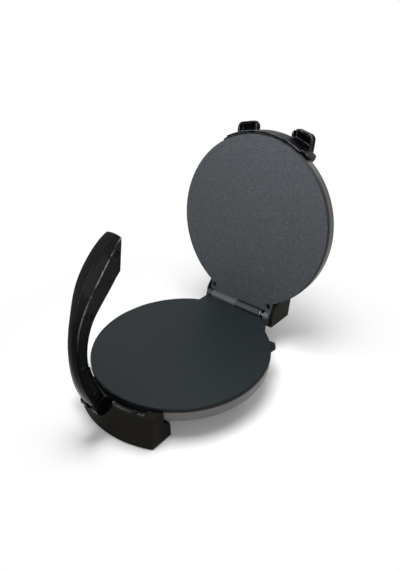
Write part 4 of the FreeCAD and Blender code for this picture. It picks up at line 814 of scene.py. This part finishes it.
class PRESS_OT_lever(PressPiece, bpy.types.Operator):
    """Polish the lever's two halves, with a fine seam where they meet and painted highlights along the seam and
    the outer corners
    """

    bl_idname = "press.lever"
    bl_label = "Lever"

    # Strength of the painted highlight along the seam.
    seam_highlight = 0.3
    corner_tilt = (0.5, 0.93)

    def make(self, context, sizes):
        pivot = Vector(LEVER_PIVOT["pos_m"])
        bend = pivot + Vector((0, sizes.bend_back, sizes.bend_rise))
        highlight_start = pivot.z + sizes.highlight_start

        def outside(place):
            """True along the lever's outer face, clear of its pivot."""
            out = math.hypot(place.y - bend.y, place.z - bend.z)
            return out > sizes.bend_reach and place.z > pivot.z + sizes.seam_start

        def seam(edge):
            return all(abs(vert.co.x) < 5 * WELD and outside(vert.co) for vert in edge.verts)

        def corner(face):
            """True on the long rounded corners of the outer face."""
            return self.corner_tilt[0] < abs(face.normal.x) < self.corner_tilt[1] and outside(face.center)

        for node in ("lever_left_half", "lever_right_half"):
            half = rounded(context, node, sizes.seam_edge, degrees=32.0, chosen=seam).data
            worn = half.attributes["worn"].data
            # The seam's rounded faces get a weak painted highlight, and the outer corners one that starts at the
            # set height and grows over the fade.
            for face in half.polygons:
                if worn[face.index].value:
                    worn[face.index].value = self.seam_highlight
                elif corner(face) and face.center.z > highlight_start:
                    worn[face.index].value = min((face.center.z - highlight_start) / sizes.highlight_fade, 1.0)


class PRESS_OT_lid_brackets(PressPiece, bpy.types.Operator):
    """Finish the lid's eared front bracket and its rear housing"""

    bl_idname = "press.lid_brackets"
    bl_label = "Lid brackets"

    def make(self, context, sizes):
        rounded(context, "lid_front_bracket", sizes.ear_edge)
        rounded(context, "lid_rear_bracket", sizes.moulded_edge)


class PRESS_OT_hinges(PressPiece, bpy.types.Operator):
    """Finish the pivot strap, the pins and the clip"""

    bl_idname = "press.hinges"
    bl_label = "Hinges"

    def make(self, context, sizes):
        for node in ("pivot_bracket", "hinge_pin", "pivot_pin", "hinge_clip"):
            rounded(context, node, sizes.steel_edge)


class PRESS_OT_screws(PressPiece, bpy.types.Operator):
    """Set a cross-head screw in every screw's place"""

    bl_idname = "press.screws"
    bl_label = "Screws"

    bright = ("pan_screws", "shell_screws", "rear_cover_screws", "foot_bolts")
    # Screws drawn in near-black steel, darker than the rest.
    blackened = ("pivot_bracket_screws", "front_bracket_screws", "rear_bracket_screws", "lever_screws")
    shank_share = 0.4
    steps_per_thread = 6

    def make(self, context, sizes):
        tree = screw_tree()
        for node in self.bright + self.blackened:
            material = finish_for(context, "screw_steel" if node in self.bright else "dark_screw")
            alike = {}
            for corners in solids(node):
                screw = Turned(corners)
                alike.setdefault(round((screw.top - screw.foot) / MM, 1), []).append(screw)
            whole = bmesh.new()
            for screws in alike.values():
                whole.from_mesh(self.cut(tree, node, screws, sizes, material))
            mesh = bpy.data.meshes.new(node)
            whole.to_mesh(mesh)
            whole.free()
            mesh.set_sharp_from_angle(angle=CREASE_ANGLE)
            place_piece(node + "_cross_head", mesh, material, node)

    def cut(self, tree, node, screws, sizes, material):
        """Screws of one length, with the head, the shank and the length that the first has."""
        model = screws[0]
        below = model.foot + (model.top - model.foot) * self.shank_share
        shank = float(model.radii[model.heights < below].max())
        seat = float(model.heights[model.radii > (model.wide + shank) / 2].min())
        length = seat - model.foot
        steps = max(int(length / sizes.thread_pitch * self.steps_per_thread), self.steps_per_thread)
        return tree.run(node, [screw.at(screw.top - model.top + seat) for screw in screws],
                        [screw.axis for screw in screws], {
            "Head Radius": model.wide, "Head Height": model.top - seat, "Shank Radius": shank,
            "Shank Length": length, "Thread Pitch": sizes.thread_pitch,
            "Thread Steps": steps, "Recess": sizes.recess_share, "Material": material})


class PRESS_OT_lamps(PressPiece, bpy.types.Operator):
    """Set ridged lenses in the rear housing"""

    bl_idname = "press.lamps"
    bl_label = "Lamps"

    barrel_share = 0.98
    dome_steps = 24
    ridge_height = 0.2
    sides = 40

    def make(self, context, sizes):
        shape = bmesh.new()
        for corners in solids("lamp_lenses"):
            self.lens(shape, sizes, Turned(corners))
        mesh = bpy.data.meshes.new("lamp_lenses")
        shape.to_mesh(mesh)
        shape.free()
        mesh.set_sharp_from_angle(angle=LENS_CREASE_ANGLE)
        place_piece("ridged_lenses", mesh, finish_for(context, SLOT_OF["lamp_lenses"]), "lamp_lenses")

    def lens(self, shape, sizes, old):
        """A turned lens: a plain barrel and, at its narrow end, a domed face with concentric ridges."""
        wide, foot, top = old.wide, -old.top, -old.foot
        rim = -float(old.heights[old.radii > wide * self.barrel_share].min())
        profile = [(0.0, foot), (wide, foot), (wide, rim)]
        for step in range(1, self.dome_steps + 1):
            share = step / self.dome_steps
            out = wide * (1 - share)
            ridge = 0.5 - 0.5 * math.cos(share * sizes.lens_rings * math.tau)
            dome = math.sqrt(max(1 - (out / wide) ** 2, 0.0))
            rise = dome * (1 - self.ridge_height) + ridge * share * self.ridge_height
            profile.append((out, rim + (top - rim) * rise))
        turn = Vector((0, 0, 1)).rotation_difference(Vector(-old.axis)).to_matrix().to_4x4()
        place = Matrix.Translation(Vector(old.middle)) @ turn
        angles = [math.tau * side / self.sides for side in range(self.sides)]
        rings = []
        for out, up in profile:
            if out < WELD:
                rings.append([shape.verts.new(place @ Vector((0, 0, up)))] * self.sides)
                continue
            around = [Vector((out * math.cos(angle), out * math.sin(angle), up)) for angle in angles]
            rings.append([shape.verts.new(place @ point) for point in around])
        for inner, outer in zip(rings, rings[1:]):
            for side in range(self.sides):
                ring = [inner[side], inner[side - 1], outer[side - 1], outer[side]]
                corners = [vert for index, vert in enumerate(ring) if vert not in ring[:index]]
                if len(corners) > 2:
                    shape.faces.new(corners).smooth = True
        bmesh.ops.recalc_face_normals(shape, faces=shape.faces)


class PRESS_OT_stage(bpy.types.Operator):
    """Lay the floor, hang the lights and place the camera"""

    bl_idname = "press.stage"
    bl_label = "Studio"

    # Each lamp is named for the studio's value that holds its power.
    lamps = {
        "overhead": {"size": (0.3, 0.3), "place": (0.03, -0.01, 0.52)},
        "window": {"size": (0.8, 0.9), "place": (-0.9, -1.3, 1.05), "colour": (0.86, 0.93, 1.0)},
        "key": {"size": (0.12, 1.2), "place": (1.05, -0.95, 0.75)},
        "rim": {"size": (0.8, 0.4), "place": (0.1, 1.3, 0.95)},
    }
    lamp_target = (0, 0.03, 0.1)
    floor_half = 12.0
    sensor_mm = 36.0
    clip = (0.01, 60.0)

    def execute(self, context):
        studio = context.scene.press_studio
        self.floor(context, studio)
        self.sky(context, studio)
        for name, settings in self.lamps.items():
            self.lamp(context, name, getattr(studio, name), **settings)
        self.camera(context, studio)
        context.scene.view_settings.view_transform = "Standard"
        return {"FINISHED"}

    def floor(self, context, studio):
        """A plain floor that takes the press's shadow and shows as white further off."""
        half = self.floor_half
        corners = [(-half, -half, 0), (half, -half, 0), (half, half, 0), (-half, half, 0)]
        mesh = bpy.data.meshes.new("floor")
        mesh.from_pydata(corners, [], [(0, 1, 2, 3)])
        floor = bpy.data.objects.new("floor", mesh)
        context.scene.collection.objects.link(floor)
        finish = Finish("pale_floor")
        paper = finish.blend(finish.noise(3, 2), tint(studio.floor, 0.99), tint(studio.floor, 1.01))
        finish.surface(base_color=paper, roughness=0.9, specular_ior_level=0.1)
        x, y, _ = finish.parts(finish.place)
        far = (x * x + y * y).root().eased(*FLOOR_RADIUS)
        white = finish.add("ShaderNodeEmission")
        lit = Wire(finish, finish.shader.outputs[0])
        both = finish.add("ShaderNodeMixShader", None, {0: self.seen(finish) * far, 1: lit, 2: white})
        finish.tree.links.new(both.socket, finish.tree.nodes["Material Output"].inputs["Surface"])
        mesh.materials.append(finish.material)

    def sky(self, context, studio):
        """An even light from all round. Where it is seen, it is white."""
        world = bpy.data.worlds.new("studio")
        world.use_nodes = True
        nodes = Nodes(world.node_tree)
        background = world.node_tree.nodes["Background"]
        nodes.feed(background.inputs["Color"], (1, 1, 1))
        nodes.feed(background.inputs["Strength"], studio.sky + self.seen(nodes) * (1 - studio.sky))
        context.scene.world = world

    def seen(self, nodes):
        """1 for the rays that show the background: from the camera, in a reflection or through glass."""
        rays = nodes.tree.nodes.new("ShaderNodeLightPath").outputs
        kinds = ("Camera", "Glossy", "Transmission")
        camera, glossy, clear = (Wire(nodes, rays[f"Is {kind} Ray"]) for kind in kinds)
        return camera + glossy + clear

    def lamp(self, context, name, power, size, place, colour=(1, 1, 1)):
        data = bpy.data.lights.new(name, "AREA")
        data.color = colour
        data.shape = "RECTANGLE"
        data.size, data.size_y = size
        data.energy = power
        lamp = bpy.data.objects.new(name, data)
        lamp.location = place
        aim = Vector(self.lamp_target) - Vector(place)
        lamp.rotation_euler = aim.to_track_quat("-Z", "Y").to_euler()
        context.scene.collection.objects.link(lamp)

    def camera(self, context, studio):
        data = bpy.data.cameras.new("camera")
        data.sensor_width = self.sensor_mm
        data.lens = studio.lens
        data.clip_start, data.clip_end = self.clip
        turn, rise = studio.azimuth, studio.elevation
        right = Vector((math.cos(turn), math.sin(turn), 0))
        back = Vector((math.sin(turn) * math.cos(rise), -math.cos(turn) * math.cos(rise), math.sin(rise)))
        up = back.cross(right)
        tilt_cos, tilt_sin = math.cos(studio.roll), math.sin(studio.roll)
        across = right * tilt_cos + up * tilt_sin
        upward = up * tilt_cos - right * tilt_sin
        camera = bpy.data.objects.new("camera", data)
        turned = Matrix((across, upward, back)).transposed().to_4x4()
        camera.matrix_world = Matrix.Translation(studio.place) @ turned
        context.scene.collection.objects.link(camera)
        context.scene.camera = camera


class PRESS_PT_panel(bpy.types.Panel):
    """The press's sizes, colours, studio and operators"""

    bl_idname = "PRESS_PT_panel"
    bl_label = "Flatbread press"
    bl_space_type = "VIEW_3D"
    bl_region_type = "UI"
    bl_category = "Press"

    def draw(self, context):
        scene = context.scene
        for group in (scene.press_sizes, scene.press_colours, scene.press_studio):
            box = self.layout.box()
            for name in group.__annotations__:
                box.prop(group, name)
        for operator in OPERATORS:
            self.layout.operator(operator.bl_idname)


GROUPS = {"press_sizes": PressSizes, "press_colours": PressColours, "press_studio": PressStudio}
OPERATORS = (PRESS_OT_cooking_plates, PRESS_OT_pans, PRESS_OT_heating, PRESS_OT_feet, PRESS_OT_pads,
             PRESS_OT_lever, PRESS_OT_lid_brackets, PRESS_OT_hinges, PRESS_OT_screws, PRESS_OT_lamps,
             PRESS_OT_stage)


def register():
    for kind in (*GROUPS.values(), *OPERATORS, PRESS_PT_panel):
        bpy.utils.register_class(kind)
    for name, kind in GROUPS.items():
        setattr(bpy.types.Scene, name, PointerProperty(type=kind))


def unregister():
    for name in GROUPS:
        delattr(bpy.types.Scene, name)
    for kind in reversed((*GROUPS.values(), *OPERATORS, PRESS_PT_panel)):
        bpy.utils.unregister_class(kind)


def main():
    register()
    bpy.ops.press.cooking_plates()
    bpy.ops.press.pans()
    bpy.ops.press.heating()
    bpy.ops.press.feet()
    bpy.ops.press.pads()
    bpy.ops.press.lever()
    bpy.ops.press.lid_brackets()
    bpy.ops.press.hinges()
    bpy.ops.press.screws()
    bpy.ops.press.lamps()
    bpy.ops.press.stage()


if __name__ == "__main__":
    main()
